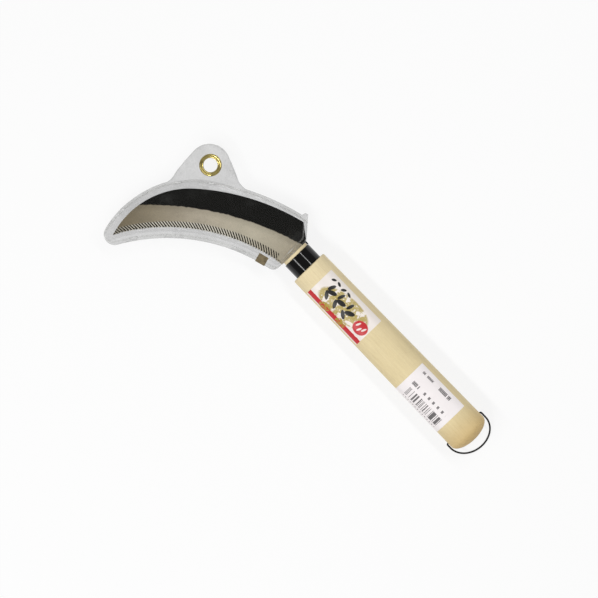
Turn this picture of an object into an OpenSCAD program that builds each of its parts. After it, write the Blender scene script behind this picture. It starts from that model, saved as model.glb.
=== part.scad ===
// Sickle for cutting rope: a hooked blade with a toothed edge, a pale wooden handle with a black
// ferrule and a wire hanging bail, and a clear slip-on cover with a brass eyelet.
// The sickle lies flat, with its blade level with the middle of its handle. X runs from the blade's
// nose to the handle's butt, Y from the cutting side to the spine side, and Z up. The origin is below
// the middle of the whole outline, on the surface that the sickle lies on. Millimetres and degrees.

/* [Blade] */
// Radius of the hooked cutting edge
edge_radius = 138.4; // [130:1:150]
// Drop of the heel of the edge below the handle's middle line
heel_drop = 11.9; // [9:0.1:13]
// Lean of the edge at its heel, towards the nose
heel_lean = 10.3; // [8:0.1:13]
// Width of the blade at its shoulder
shoulder_width = 33; // [30:0.1:35]
// Turn about the edge's centre from the heel to the shoulder
shoulder_turn = 1.8; // [1.5:0.1:2.5]
// Width of the blade where its spine starts to close towards the nose
belly_width = 28.4; // [26:0.1:30]
// Turn about the edge's centre from the heel to that place
belly_turn = 28.9; // [26:0.5:31]
// Radius of the spine behind that place
spine_radius = 168; // [160:1:185]
// Radius of the spine in front of it
nose_radius = 61; // [56:1:66]
// Height of the blade's root above the handle's middle line
root_height = 11.5; // [11:0.1:12.5]
// Thickness of the blade
blade_thickness = 2; // [1.6:0.1:2.4]
// Width of the ground bevel
bevel_width = 15.2; // [11:0.5:17]
// Thickness that the bevel leaves at the edge
edge_thickness = 0.3; // [0.2:0.05:0.5]

/* [Teeth] */
// Number of teeth along the edge
tooth_count = 56; // [40:1:60]
// Length of edge left plain at the heel
plain_heel = 6.6; // [5:0.5:14]
// Length of edge left plain at the tip
plain_tip = 6; // [5:0.5:14]
// Lean of the tooth gullets towards the tip
gullet_lean = 38; // [20:1:40]
// Width of a gullet
gullet_width = 0.9; // [0.6:0.05:1]
// Length of the gullet nearest the heel
gullet_heel = 6; // [4:0.1:8]
// Length of the gullet nearest the tip
gullet_tip = 4; // [3:0.1:5]
// Depth of a gullet below the back of the edge
gullet_depth = 0.12; // [0.05:0.01:0.2]

/* [Tang] */
// Length of the tang inside the handle
tang_length = 48; // [40:1:60]
// Width of the tang at the blade
tang_width = 11; // [9:0.5:13]
// Width of the tang at its end
tang_end_width = 6; // [5:0.5:8]
// Clearance between the tang and its slot
tang_gap = 0.1; // [0.05:0.05:0.3]
// Diameter of the pin across the tang
pin_d = 3; // [2:0.5:4]
// Clearance round the pin
pin_gap = 0.05; // [0.02:0.01:0.1]
// Depth of the pin's ends below the tenon's surface
pin_inset = 0.5; // [0.4:0.1:0.8]
// Clearance between the blade's root and the tenon and ferrule
root_gap = 0.15; // [0.1:0.05:0.3]

/* [Handle] */
// Length of the handle from its shoulder to its butt
handle_length = 167.1; // [150:0.1:185]
// Width of the handle at its shoulder
front_width = 28.4; // [27:0.1:31]
// Thickness of the handle at its shoulder
front_thickness = 23.6; // [23:0.1:27]
// Width of the handle at its butt
butt_width = 30.8; // [29:0.1:34]
// Thickness of the handle at its butt
butt_thickness = 25; // [24:0.1:29]
// Length of the domed end
dome_length = 7.4; // [5:0.1:9]
// Rounding of the handle's shoulder
shoulder_round = 1; // [0.5:0.1:1.2]
// Diameter of the tenon that carries the ferrule
tenon_d = 20.6; // [18:0.1:20.6]
// Length of tenon that stands out of the ferrule
tenon_proud = 2.2; // [1.5:0.1:4]

/* [Ferrule] */
// Length of the ferrule
ferrule_length = 12.1; // [10:0.1:16]
// Wall of the ferrule
ferrule_wall = 0.8; // [0.6:0.1:1]
// Clearance between the ferrule and the tenon
ferrule_gap = 0.05; // [0.02:0.01:0.1]
// Width of the chamfer round the ferrule's rims
ferrule_chamfer = 0.3; // [0.1:0.05:0.4]

/* [Hanging bail] */
// Diameter of the bail's wire
wire_d = 1.3; // [1:0.1:1.8]
// Distance of the bail's pivot from the butt
bail_setback = 10.8; // [9:0.1:14]
// Reach of the bail from its pivot to the middle of its bow
bail_reach = 21.6; // [20.5:0.1:26]
// Clearance between the bail's legs and the handle
bail_side_gap = 0.3; // [0.2:0.1:0.8]
// Radius of the bends that lead into the handle
bail_bend = 1; // [0.9:0.05:1.1]
// Depth of the bail's holes
bail_hole_depth = 6; // [4:0.5:8]
// Clearance round the wire in its holes
bail_hole_gap = 0.1; // [0.05:0.01:0.15]
// Gap between the wire's ends and the bottoms of the holes
bail_end_gap = 0.5; // [0.3:0.1:1]

/* [Stickers] */
// Start of the long label, from the handle's shoulder
label_start = 12; // [6:1:20]
// Length of the long label
label_length = 50; // [40:1:60]
// Start of the price label, from the handle's shoulder
tag_start = 103; // [95:1:110]
// Length of the price label
tag_length = 42; // [30:1:45]
// Thickness of the stickers
sticker_thickness = 0.12; // [0.1:0.01:0.2]
// Thickness of the glue below the stickers
sticker_lift = 0.02; // [0.01:0.01:0.05]

/* [Cover] */
// Thickness of each film
film = 0.5; // [0.3:0.05:0.6]
// Clearance between the blade and the films
film_gap = 0.3; // [0.2:0.05:0.5]
// Width of the strip below the edge over which a film rises to the blade
rise_width = 1.2; // [0.8:0.1:2]
// Room inside the cover below the edge
edge_room = 0.15; // [0.1:0.05:0.3]
// Room inside the cover above the spine
spine_room = 0.5; // [0.3:0.1:1]
// Least width of the raised strip, where it runs out at the nose
least_strip = 3; // [2:0.5:4]
// Margin of the cover below the edge
edge_margin = 7.4; // [7:0.1:10]
// Margin of the cover above the spine, at the mouth
mouth_margin = 3.6; // [3.5:0.1:6]
// Margin of the cover above the spine, at the nose
nose_margin = 6.7; // [6:0.1:9]
// Width of the weld round the rim
weld_width = 1.7; // [1:0.1:2]
// Radius of the cover's nose
end_radius = 7.6; // [7:0.1:9]
// Radius of the corner below the mouth
corner_radius = 4.5; // [4:0.1:6]
// Gap between the mouth and the tenon
mouth_gap = 0.3; // [0.3:0.05:1]
// Lean of the slanting part of the mouth
mouth_slant = 48; // [44:1:52]
// Height of the small ear at the top of the mouth
ear_height = 2.5; // [1:0.1:3]
// Width of the ear
ear_width = 3.5; // [3:0.1:5]
// Radius of the round end of the hanging tab
tab_radius = 14.8; // [12:0.5:15]
// Fall of the tab's flanks for each degree about the edge's centre
tab_flare = 4.3; // [3.8:0.1:4.6]
// Width over which the tab's flanks curve into the rim
tab_fillet = 5; // [3:0.5:8]

/* [Eyelet] */
// Diameter of the eyelet's bore
eyelet_bore = 10; // [8:0.1:10.5]
// Diameter of the eyelet's flange
eyelet_flange = 15.8; // [15:0.1:17]
// Thickness of the eyelet's barrel
eyelet_wall = 0.45; // [0.3:0.05:0.5]
// Height of the eyelet's domed flange
flange_height = 1; // [0.8:0.05:1.2]
// Height of the flange's lip at the bore
lip_height = 0.4; // [0.3:0.05:0.5]
// Reach of the curl behind the washer, from the bore
curl_reach = 1.4; // [1.2:0.1:1.8]
// Height of the curl
curl_height = 0.6; // [0.5:0.05:0.8]
// Height of the curl's lip at the bore
curl_lip = 0.2; // [0.1:0.05:0.3]
// Turn about the edge's centre from the heel to the eyelet
eyelet_turn = 26.2; // [25:0.1:27]
// Distance of the eyelet from the edge
eyelet_reach = 46.2; // [45.5:0.1:47.5]
// Thickness of the washer behind the tab
washer_thickness = 0.4; // [0.3:0.05:0.6]
// Width of the chamfer round the washer
washer_chamfer = 0.4; // [0.2:0.1:0.6]
// Clearance round the barrel
barrel_gap = 0.05; // [0.02:0.01:0.1]

/* [Clip] */
// Length of the clip along the rim
clip_length = 7.4; // [6:0.1:9]
// Reach of the clip from the rim
clip_reach = 5.9; // [4:0.1:6]
// Thickness of the clip's metal
clip_metal = 0.4; // [0.3:0.05:0.5]
// Turn about the edge's centre from the heel to the clip
clip_turn = 5.9; // [5:0.1:9]
// Gap between the rim and the clip's fold
clip_gap = 0.15; // [0.1:0.05:0.3]

/* [Hidden] */
$fn = 96;

// Sides of the handle's oval, and rings of its domed end
oval_sides = 48;
dome_rings = 6;
// Sides of the bail's wire and of the holes through the films
wire_sides = 24;
hole_sides = 48;
// Steps of each arc of the blade's outline
outline_steps = 24;
// Rows of the films: round the corner, along the blade and round the nose
corner_rows = 4;
body_rows = 52;
end_rows = 6;
// Facet lines of the oval, counted from the spine side, between which the stickers lie
label_lines = [6, 21];
tag_lines = [6, 24];
// Share of the nose's radius at which the films' last row ends
last_row = 0.96;
// Width of the cover from which a row is spaced in full
full_width = 20;
// Shares of the raised strip between which the bevel's upper end may lie
bevel_shares = [0.3, 0.7];
// Share of the way from the tip to the last row at which the films start to close, and its length
close_start = 0.15;
close_length = 0.7;
// Share of the turn that the tab's round end would span up to its widest place
tab_share = 0.8;
// Share of the way from the bore to the flange's rim, or to the curl's, at which it is highest
crest_share = 0.42;
curl_share = 0.57;
// Length by which cutting shapes pass what they cut, and turn or width by which the ground ring does
over = 1;
ring_over = 12;

// Plain geometry in the plane
function mix(a, b, t) = a + (b - a) * t;
function clamp(v, low, high) = max(low, min(high, v));
function ease(t) = let (u = clamp(t, 0, 1)) u * u * (3 - 2 * u);
function unit(a) = [cos(a), sin(a)];
function bearing(from, to) = atan2(to[1] - from[1], to[0] - from[0]);
function arc(centre, radius, a1, a2, steps) =
    [for (i = [0:steps]) centre + radius * unit(mix(a1, a2, i / steps))];

// Distance along the ray from a point to the far (side 1) or near (side -1) wall of a circle
function ray_hit(from, a, centre, radius, side) =
    let (d = centre - from, along = d * unit(a))
    along + side * sqrt(max(0, radius * radius - d * d + along * along));

// Meeting point of two circles, left of the line between their centres
function circles_meet(c1, r1, c2, r2) =
    let (d = c2 - c1, gap = norm(d), u = d / gap, along = (r1 * r1 - r2 * r2 + gap * gap) / (2 * gap))
    c1 + u * along + sqrt(r1 * r1 - along * along) * [-u[1], u[0]];

// Centre of a circle through two points, left of the line between them
function centre_through(p, q, radius) =
    let (half = (q - p) / 2, u = half / norm(half))
    p + half + sqrt(radius * radius - half * half) * [-u[1], u[0]];

// The larger of two heights, with their corner filled over a width
function soft_max(a, b, width) =
    let (h = max(0, 1 - abs(a - b) / width))
    max(a, b) + h * h * width / 4;

// Main points of the blade, with the handle's shoulder at zero
tenon_end = -(ferrule_length + tenon_proud);
heel_angle = 90 + heel_lean;
heel = [tenon_end, -heel_drop];
edge_centre = heel - edge_radius * unit(heel_angle);
function from_edge(turn, reach) = edge_centre + (edge_radius + reach) * unit(heel_angle + turn);
shoulder = from_edge(shoulder_turn, shoulder_width);
belly = from_edge(belly_turn, belly_width);
spine_centre = centre_through(shoulder, belly, spine_radius);
nose_centre = mix(belly, spine_centre, nose_radius / spine_radius);
tip = circles_meet(edge_centre, edge_radius, nose_centre, nose_radius);
tip_angle = bearing(edge_centre, tip);
belly_angle = heel_angle + belly_turn;
half_blade = blade_thickness / 2;
half_edge = edge_thickness / 2;
bevel_slope = (half_blade - half_edge) / bevel_width;

// Radii and levels shared by the handle, the ferrule, the pin and the bail
tenon_r = tenon_d / 2;
ferrule_r = tenon_r + ferrule_gap + ferrule_wall;
dome_start = handle_length - dome_length;
wire_r = wire_d / 2;
pivot_x = handle_length - bail_setback;
rest_height = butt_thickness / 2;
function taper(front, butt, x) = mix(front, butt, clamp(x / dome_start, 0, 1)) / 2;
// Rounds a length up to a hundredth, so that the ends of neighbouring lengths of wire meet
function snap(v) = ceil(v * 100) / 100;
bow_r = snap(taper(front_width, butt_width, pivot_x) + bail_side_gap + wire_r);
// The bail's bow hangs down to the surface, short of it by part of a degree
bail_droop = floor(asin((rest_height - wire_r) / bail_reach));

// Radii and levels of the eyelet and its washer behind the films
bore_r = eyelet_bore / 2;
barrel_r = bore_r + eyelet_wall;
flange_r = eyelet_flange / 2;
washer_back = -film - washer_thickness;

// Outline of the cover about the edge's centre
rim_r = edge_radius - edge_margin;
mouth_x = tenon_end - mouth_gap;
mouth_bend = [mouth_x, root_height + mouth_gap];
mouth_bend_r = norm(mouth_bend - edge_centre);
corner_x = mouth_x - corner_radius;
corner_drop = sqrt(pow(rim_r + corner_radius, 2) - pow(edge_centre[0] - corner_x, 2));
corner_centre = [corner_x, edge_centre[1] + corner_drop];
outer_nose_r = nose_radius + nose_margin;
end_centre = circles_meet(edge_centre, rim_r + end_radius, nose_centre, outer_nose_r - end_radius);
end_touch = nose_centre + outer_nose_r * unit(bearing(nose_centre, end_centre));
corner_angle = bearing(edge_centre, corner_centre);
end_angle = bearing(edge_centre, end_centre);
touch_angle = bearing(edge_centre, end_touch);
last_angle = end_angle + asin(last_row * end_radius / (rim_r + end_radius));
eyelet_angle = heel_angle + eyelet_turn;
eyelet_r = edge_radius + eyelet_reach;
eyelet_centre = from_edge(eyelet_turn, eyelet_reach);

// Angle of the mouth at a radius: upright beside the tenon, then slanting along the shoulder to its top
mouth_top_r = edge_radius + shoulder_width + mouth_margin;
function mouth_angle(r) =
    let (q = mouth_bend - edge_centre, u = unit(180 - mouth_slant), step = -(q * u),
         near = min(r, mouth_top_r + ear_height))
    r < mouth_bend_r
    ? 90 + asin((edge_centre[0] - mouth_x) / r)
    : bearing([0, 0], q + u * (step + sqrt(step * step - q * q + near * near)));

// Outline below the edge
function rim_at(a) =
    a < corner_angle ? ray_hit(edge_centre, a, corner_centre, corner_radius, -1)
    : a < end_angle ? rim_r
    : ray_hit(edge_centre, a, end_centre, end_radius, -1);

// The blade's spine
function spine_at(a) =
    a < belly_angle ? ray_hit(edge_centre, a, spine_centre, spine_radius, 1)
    : a < tip_angle ? ray_hit(edge_centre, a, nose_centre, nose_radius, 1)
    : edge_radius;

// Outline above the spine, without the tab and the ear
top_mouth_angle = mouth_angle(mouth_top_r);
function margin_at(a) =
    mix(mouth_margin, nose_margin, clamp((a - top_mouth_angle) / (belly_angle - top_mouth_angle), 0, 1));
function top_at(a) =
    a < belly_angle ? ray_hit(edge_centre, a, spine_centre, spine_radius + margin_at(a), 1)
    : a < touch_angle ? ray_hit(edge_centre, a, nose_centre, outer_nose_r, 1)
    : ray_hit(edge_centre, a, end_centre, end_radius, 1);

// The hanging tab: a round end about the eyelet, and flanks that fall away in straight flares
tab_round = asin(tab_radius / eyelet_r) * tab_share;
function tab_round_at(turn) = ray_hit([0, 0], turn, [eyelet_r, 0], tab_radius, 1);
function tab_at(a) =
    let (turn = abs(a - eyelet_angle))
    turn < tab_round ? tab_round_at(turn) : tab_round_at(tab_round) - tab_flare * (turn - tab_round);

// The ear at the top of the mouth
ear_turn = ear_width / (edge_radius + shoulder_width) * 180 / PI;
function ear_at(a) = ear_height * (1 - ease((a - top_mouth_angle) / ear_turn - 0.5));
function outline_at(a) = soft_max(top_at(a) + ear_at(a), tab_at(a), tab_fillet);

// Rows of the films run across the blade, from the mouth (0) to the nose (1)
corner_start_r = norm([mouth_x, corner_centre[1]] - edge_centre);
low_mouth_angle = mouth_angle(corner_start_r);
corner_share = (corner_angle - low_mouth_angle) / (last_angle - low_mouth_angle);
end_share = (end_angle - low_mouth_angle) / (last_angle - low_mouth_angle);
film_rows = concat(
    [for (i = [0:corner_rows - 1]) corner_share * (1 - cos(90 * i / corner_rows))],
    [for (i = [0:body_rows - 1]) mix(corner_share, end_share, i / body_rows)],
    [for (i = [0:end_rows]) mix(end_share, 1, sin(90 * i / end_rows))]);

// Level of the inside of a film above the blade's middle: it follows the bevel and the flat
function film_level(r) = min(half_blade, half_edge + bevel_slope * max(0, r - edge_radius)) + film_gap;

// Radii and levels across one row: rim, weld, pinched strip, bevel, flat, weld and outline
function film_row(s) =
    let (low = rim_at(mix(low_mouth_angle, last_angle, s)),
         top_angle = mix(top_mouth_angle, last_angle, s),
         top = top_at(top_angle),
         outer = outline_at(top_angle),
         share = min(1, (top - low) / full_width),
         near = share < 1 ? mix(low, rim_r, share / 2) : rim_r,
         pinch = near + share * (edge_margin - rise_width),
         edge = near + share * (edge_margin - edge_room),
         far = max(spine_at(top_angle) + spine_room, edge + share * least_strip),
         bevel = clamp(edge_radius + bevel_width,
                       mix(edge, far, bevel_shares[0]), mix(edge, far, bevel_shares[1])),
         past_tip = (top_angle - tip_angle) / (last_angle - tip_angle),
         fade = 1 - ease((past_tip - close_start) / close_length),
         weld = top - share * weld_width)
    [[low, 0], [mix(low, pinch, 0.5), 0], [pinch, 0], [edge, film_level(edge) * fade],
     [mix(edge, bevel, 0.5), film_level(mix(edge, bevel, 0.5)) * fade],
     [bevel, film_level(bevel) * fade],
     [mix(bevel, far, 0.5), film_level(mix(bevel, far, 0.5)) * fade],
     [far, film_level(far) * fade], [weld, 0], [mix(weld, outer, 0.5), 0], [outer, 0]];
function film_point(s, r, z) =
    concat(edge_centre + r * unit(mix(mouth_angle(r), last_angle, s)), z);
film_inner = [for (s = film_rows) [for (p = film_row(s)) film_point(s, p[0], p[1])]];
film_outer = [for (row = film_inner) [for (p = row) p + [0, 0, film]]];

// Middle of the whole outline
outline_points = [for (row = film_inner) each [row[0], row[len(row) - 1]]];
bow_x = pivot_x + bail_reach * cos(bail_droop) + wire_r;
bow_y = bow_r + wire_r;
low_x = min([for (p = outline_points) p[0]]);
low_y = min(concat([for (p = outline_points) p[1]], -bow_y));
high_y = max(concat([for (p = outline_points) p[1]], bow_y));
middle = [-(low_x + bow_x) / 2, -(low_y + high_y) / 2, rest_height];

// Closed solid between two grids of points with the same rows
module between(lower, upper) {
    rows = len(lower);
    cols = len(lower[0]);
    count = rows * cols;
    points = concat([for (row = lower) each row], [for (row = upper) each row]);
    function at(i, j, up) = i * cols + j + up * count;
    top = [for (i = [0:rows - 2], j = [0:cols - 2]) each
        [[at(i, j, 1), at(i + 1, j, 1), at(i + 1, j + 1, 1)],
         [at(i, j, 1), at(i + 1, j + 1, 1), at(i, j + 1, 1)]]];
    bottom = [for (i = [0:rows - 2], j = [0:cols - 2]) each
        [[at(i, j, 0), at(i + 1, j + 1, 0), at(i + 1, j, 0)],
         [at(i, j, 0), at(i, j + 1, 0), at(i + 1, j + 1, 0)]]];
    sides = [for (i = [0:rows - 2]) each
        [[at(i, 0, 0), at(i + 1, 0, 0), at(i + 1, 0, 1)],
         [at(i, 0, 0), at(i + 1, 0, 1), at(i, 0, 1)],
         [at(i, cols - 1, 0), at(i + 1, cols - 1, 1), at(i + 1, cols - 1, 0)],
         [at(i, cols - 1, 0), at(i, cols - 1, 1), at(i + 1, cols - 1, 1)]]];
    ends = [for (j = [0:cols - 2]) each
        [[at(0, j, 0), at(0, j + 1, 1), at(0, j + 1, 0)],
         [at(0, j, 0), at(0, j, 1), at(0, j + 1, 1)],
         [at(rows - 1, j, 0), at(rows - 1, j + 1, 0), at(rows - 1, j + 1, 1)],
         [at(rows - 1, j, 0), at(rows - 1, j + 1, 1), at(rows - 1, j, 1)]]];
    polyhedron(points, concat(top, bottom, sides, ends), convexity = 6);
}

// Stands a shape made about a vertical axis along X, from a start
module along_x(start) {
    translate([start, 0, 0]) rotate([0, 90, 0]) children();
}

// Outline of the blade, from its root along the spine to the tip and back inside the edge
module blade_outline() {
    inside = edge_radius - ring_over / 2;
    shoulder_bearing = bearing(spine_centre, shoulder);
    belly_bearing = bearing(spine_centre, belly);
    tip_bearing = bearing(nose_centre, tip) + 360;
    lug_end = -ferrule_length - root_gap;
    lug_low = tenon_r + root_gap;
    polygon(concat(
        [[tenon_end, lug_low], [lug_end, lug_low], [lug_end, root_height], [tenon_end, root_height]],
        arc(spine_centre, spine_radius, shoulder_bearing, belly_bearing, outline_steps),
        arc(nose_centre, nose_radius, belly_bearing, tip_bearing + over, outline_steps),
        arc(edge_centre, inside, tip_angle, heel_angle, outline_steps),
        [[tenon_end, edge_centre[1] + inside * cos(heel_lean)]]));
}

// Ring about the edge's centre that is as thick as the blade, and ground to the edge on both faces
module ground_ring() {
    far = edge_radius + shoulder_width + ring_over;
    bevel_r = edge_radius + bevel_width;
    start = heel_angle - ring_over;
    translate(edge_centre) rotate(start) rotate_extrude(angle = tip_angle + ring_over - start, $fn = 360)
        polygon([[edge_radius, -half_edge], [bevel_r, -half_blade], [far, -half_blade],
                 [far, half_blade], [bevel_r, half_blade], [edge_radius, half_edge]]);
}

// One slanting gullet, cut into the front of the bevel so that its floor runs out at its upper end
module gullet(angle, reach) {
    floor_drop = half_edge + gullet_depth;
    rise = atan((floor_drop + half_edge + bevel_slope * reach * cos(gullet_lean)) / reach);
    translate(edge_centre) rotate(angle) translate([edge_radius, 0, -floor_drop])
        rotate(gullet_lean) rotate([0, -rise, 0])
            translate([-2 * over, -gullet_width / 2, 0]) cube([reach + 3 * over, gullet_width, 2 * over]);
}

// Outline of the tang, wider all round by a gap
module tang_outline(gap) {
    root = tang_width / 2 + gap;
    end = tang_end_width / 2 + gap;
    finish = tenon_end + tang_length + gap;
    polygon([[tenon_end, -root], [finish - end, -end], [finish, -end / 2],
             [finish, end / 2], [finish - end, end], [tenon_end, root]]);
}

// The blade and its tang, one forged piece
module blade() {
    first = heel_angle + plain_heel / edge_radius * 180 / PI;
    last = tip_angle - plain_tip / edge_radius * 180 / PI;
    color([0.1, 0.1, 0.09]) translate(middle) difference() {
        union() {
            intersection() {
                translate([0, 0, -blade_thickness]) linear_extrude(2 * blade_thickness) blade_outline();
                ground_ring();
            }
            translate([0, 0, -half_blade]) linear_extrude(blade_thickness) tang_outline(0);
        }
        for (i = [0:tooth_count - 1]) {
            share = i / (tooth_count - 1);
            gullet(mix(first, last, share), mix(gullet_heel, gullet_tip, share));
        }
        translate([-ferrule_length / 2, 0, -blade_thickness])
            cylinder(h = 2 * blade_thickness, d = pin_d + 2 * pin_gap);
    }
}

// Pin across the tang, hidden under the ferrule
module tang_pin() {
    length = tenon_d - 2 * pin_inset;
    color([0.45, 0.45, 0.45]) translate(middle) translate([-ferrule_length / 2, 0, -length / 2])
        cylinder(h = length, d = pin_d);
}

// Black band driven over the tenon against the handle's shoulder
module ferrule() {
    inner = tenon_r + ferrule_gap;
    c = ferrule_chamfer;
    color([0.04, 0.04, 0.04]) translate(middle) along_x(-ferrule_length) rotate_extrude()
        polygon([[inner, 0], [ferrule_r - c, 0], [ferrule_r, c], [ferrule_r, ferrule_length - c],
                 [ferrule_r - c, ferrule_length], [inner, ferrule_length]]);
}

// Point of the handle's oval at a place along it, drawn in or let out by a step
function oval_point(x, a, step) =
    [x, (taper(front_width, butt_width, x) + step) * cos(a),
     (taper(front_thickness, butt_thickness, x) + step) * sin(a)];
function oval_ring(x, step, share) =
    [for (i = [0:oval_sides - 1]) let (p = oval_point(x, 360 * i / oval_sides, step))
        [p[0], p[1] * share, p[2] * share]];

// Turned oval body of the handle, with a rounded shoulder and a domed butt
module handle_body() {
    r = shoulder_round;
    rings = concat(
        [for (a = [0:45:90]) oval_ring(r * (1 - cos(a)), r * (sin(a) - 1), 1)],
        [for (i = [0:dome_rings - 1]) let (a = 90 * i / dome_rings)
            [for (p = oval_ring(dome_start, 0, cos(a))) p + [dome_length * sin(a), 0, 0]]]);
    n = oval_sides;
    last = len(rings) - 1;
    points = concat([for (ring = rings) each ring], [[0, 0, 0], [handle_length, 0, 0]]);
    walls = [for (k = [0:last - 1], i = [0:n - 1]) let (a = k * n + i, b = k * n + (i + 1) % n) each
        [[a, a + n, b + n], [a, b + n, b]]];
    caps = [for (i = [0:n - 1]) let (j = (i + 1) % n) each
        [[len(points) - 2, i, j], [len(points) - 1, last * n + j, last * n + i]]];
    polyhedron(points, concat(walls, caps), convexity = 4);
}

// Handle with its tenon, the slot for the tang, the pin's hole and the two blind holes of the bail
module handle() {
    hole_r = wire_r + bail_hole_gap;
    hole_end = taper(front_width, butt_width, pivot_x) - bail_hole_depth;
    slot = blade_thickness + 2 * tang_gap;
    slot_width = tang_width + 2 * tang_gap;
    color([0.88, 0.82, 0.66]) translate(middle) difference() {
        union() {
            handle_body();
            along_x(tenon_end) cylinder(h = tang_length / 2, r = tenon_r);
        }
        translate([0, 0, -slot / 2]) linear_extrude(slot) {
            tang_outline(tang_gap);
            translate([tenon_end - over, -slot_width / 2]) square([2 * over, slot_width]);
        }
        translate([-ferrule_length / 2, 0, -tenon_d])
            cylinder(h = 2 * tenon_d, d = pin_d + 2 * pin_gap);
        for (side = [-1, 1])
            translate([pivot_x, side * hole_end, 0]) rotate([-90 * side, 0, 0])
                cylinder(h = 2 * bail_hole_depth, r = hole_r);
    }
}

// Sticker that follows the handle's oval between two of its facet lines
module sticker(start, reach, lines) {
    function patch(step) = [for (x = [start, start + reach])
        [for (i = [lines[1]:-1:lines[0]]) oval_point(x, 360 * i / oval_sides, step)]];
    between(patch(sticker_lift), patch(sticker_lift + sticker_thickness));
}

module long_label() {
    color([0.86, 0.8, 0.66]) translate(middle) sticker(label_start, label_length, label_lines);
}

module price_label() {
    color([0.93, 0.92, 0.92]) translate(middle) sticker(tag_start, tag_length, tag_lines);
}

// Quarter bend of wire that starts at the origin along Y and leaves along X
module wire_bend() {
    translate([bail_bend, 0, 0]) rotate(90) rotate_extrude(angle = 90)
        translate([bail_bend, 0]) circle(wire_r);
}

// Wire bow whose bent ends turn in the handle's two holes
module hanging_bail() {
    leg = bail_reach - bow_r - bail_bend;
    bend_y = bow_r - bail_bend;
    pin_end = snap(taper(front_width, butt_width, pivot_x) - bail_hole_depth + bail_end_gap);
    $fn = wire_sides;
    color([0.08, 0.08, 0.08]) translate(middle) translate([pivot_x, 0, 0]) rotate([0, bail_droop, 0]) {
        translate([bail_bend + leg, 0, 0]) rotate(-90) rotate_extrude(angle = 180, $fn = 96)
            translate([bow_r, 0]) circle(wire_r, $fn = wire_sides);
        for (side = [0, 1]) mirror([0, side, 0]) {
            translate([bail_bend, bow_r, 0]) rotate([0, 90, 0]) cylinder(h = leg, r = wire_r);
            translate([0, bend_y, 0]) wire_bend();
            translate([0, pin_end, 0]) rotate([-90, 0, 0]) cylinder(h = bend_y - pin_end, r = wire_r);
        }
    }
}

// One film of the cover, in front of the blade's middle
module cover_film() {
    difference() {
        between(film_inner, film_outer);
        translate(concat(eyelet_centre, -over))
            cylinder(h = film + 2 * over, r = barrel_r + barrel_gap, $fn = hole_sides);
    }
}

module cover_front() {
    color([0.85, 0.87, 0.88, 0.5]) translate(middle) cover_film();
}

module cover_back() {
    color([0.8, 0.82, 0.83, 0.5]) translate(middle) mirror([0, 0, 1]) cover_film();
}

// Rolled brass eyelet: a domed flange in front, a barrel, and a curl behind the washer
module eyelet() {
    crest = mix(bore_r, flange_r, crest_share);
    curl_r = bore_r + curl_reach;
    curl_crest = mix(bore_r, curl_r, curl_share);
    top = film + flange_height;
    back = washer_back - curl_height;
    color([0.75, 0.66, 0.42]) translate(middle) translate(eyelet_centre) rotate_extrude() polygon(concat(
        [for (a = [0:15:90]) [mix(crest, flange_r, cos(a)), mix(film, top, sin(a))]],
        [for (a = [75:-15:0]) [mix(crest, bore_r, cos(a)), mix(film + lip_height, top, sin(a))]],
        [for (a = [0:15:90]) [mix(curl_crest, bore_r, cos(a)), mix(washer_back - curl_lip, back, sin(a))]],
        [for (a = [75:-15:0]) [mix(curl_crest, curl_r, cos(a)), mix(washer_back, back, sin(a))]],
        [[barrel_r, washer_back], [barrel_r, film]]));
}

// Flat washer between the back film and the curl
module eyelet_washer() {
    inner = barrel_r + barrel_gap;
    color([0.7, 0.61, 0.38]) translate(middle) translate(eyelet_centre) rotate_extrude()
        polygon([[inner, -film], [flange_r, -film], [flange_r, -film - washer_thickness / 2],
                 [flange_r - washer_chamfer, washer_back], [inner, washer_back]]);
}

// Folded metal clip pressed over the rim below the mouth
module cover_clip() {
    fold = rim_r - clip_gap - clip_metal;
    reach = clip_reach + clip_gap + clip_metal;
    half = film + clip_metal;
    color([0.47, 0.42, 0.31]) translate(middle) translate(edge_centre) rotate(heel_angle + clip_turn)
        difference() {
            translate([fold, -clip_length / 2, -half]) cube([reach, clip_length, 2 * half]);
            translate([fold + clip_metal, -clip_length / 2 - over, -film])
                cube([reach, clip_length + 2 * over, 2 * film]);
        }
}

blade();
tang_pin();
ferrule();
handle();
long_label();
price_label();
hanging_bail();
cover_front();
cover_back();
eyelet();
eyelet_washer();
cover_clip();
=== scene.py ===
"""Looks of a rope cutting sickle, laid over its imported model.

Shapes are worked out in millimetres from the middle of the handle's shoulder, X towards the butt
and Y towards the spine side. A mesh is written in metres, in the model's own frame.
"""

import logging
import math
from dataclasses import dataclass
from enum import Enum

import bmesh
import bpy
import numpy as np
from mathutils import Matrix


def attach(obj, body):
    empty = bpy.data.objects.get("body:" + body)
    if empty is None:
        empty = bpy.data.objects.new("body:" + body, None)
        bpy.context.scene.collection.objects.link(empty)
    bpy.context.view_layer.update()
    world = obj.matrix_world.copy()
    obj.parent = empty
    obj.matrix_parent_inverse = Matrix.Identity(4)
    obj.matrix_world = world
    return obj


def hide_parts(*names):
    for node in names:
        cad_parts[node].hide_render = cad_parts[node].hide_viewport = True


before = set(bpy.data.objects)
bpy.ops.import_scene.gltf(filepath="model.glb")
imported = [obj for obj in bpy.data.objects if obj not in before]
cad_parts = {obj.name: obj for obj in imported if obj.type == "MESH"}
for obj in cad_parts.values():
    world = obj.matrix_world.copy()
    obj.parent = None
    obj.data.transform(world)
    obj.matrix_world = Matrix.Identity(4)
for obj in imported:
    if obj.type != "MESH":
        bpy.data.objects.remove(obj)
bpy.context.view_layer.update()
LOG = logging.getLogger("sickle")
MM = 0.001
MIDDLE = np.array([-27.0447, 31.7944, 12.5])
EDGE_CENTRE = np.array([10.4462, -148.07])
EDGE_RADIUS = 138.4
HEEL_BEARING = 100.3
TENON_END = -14.3


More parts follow.
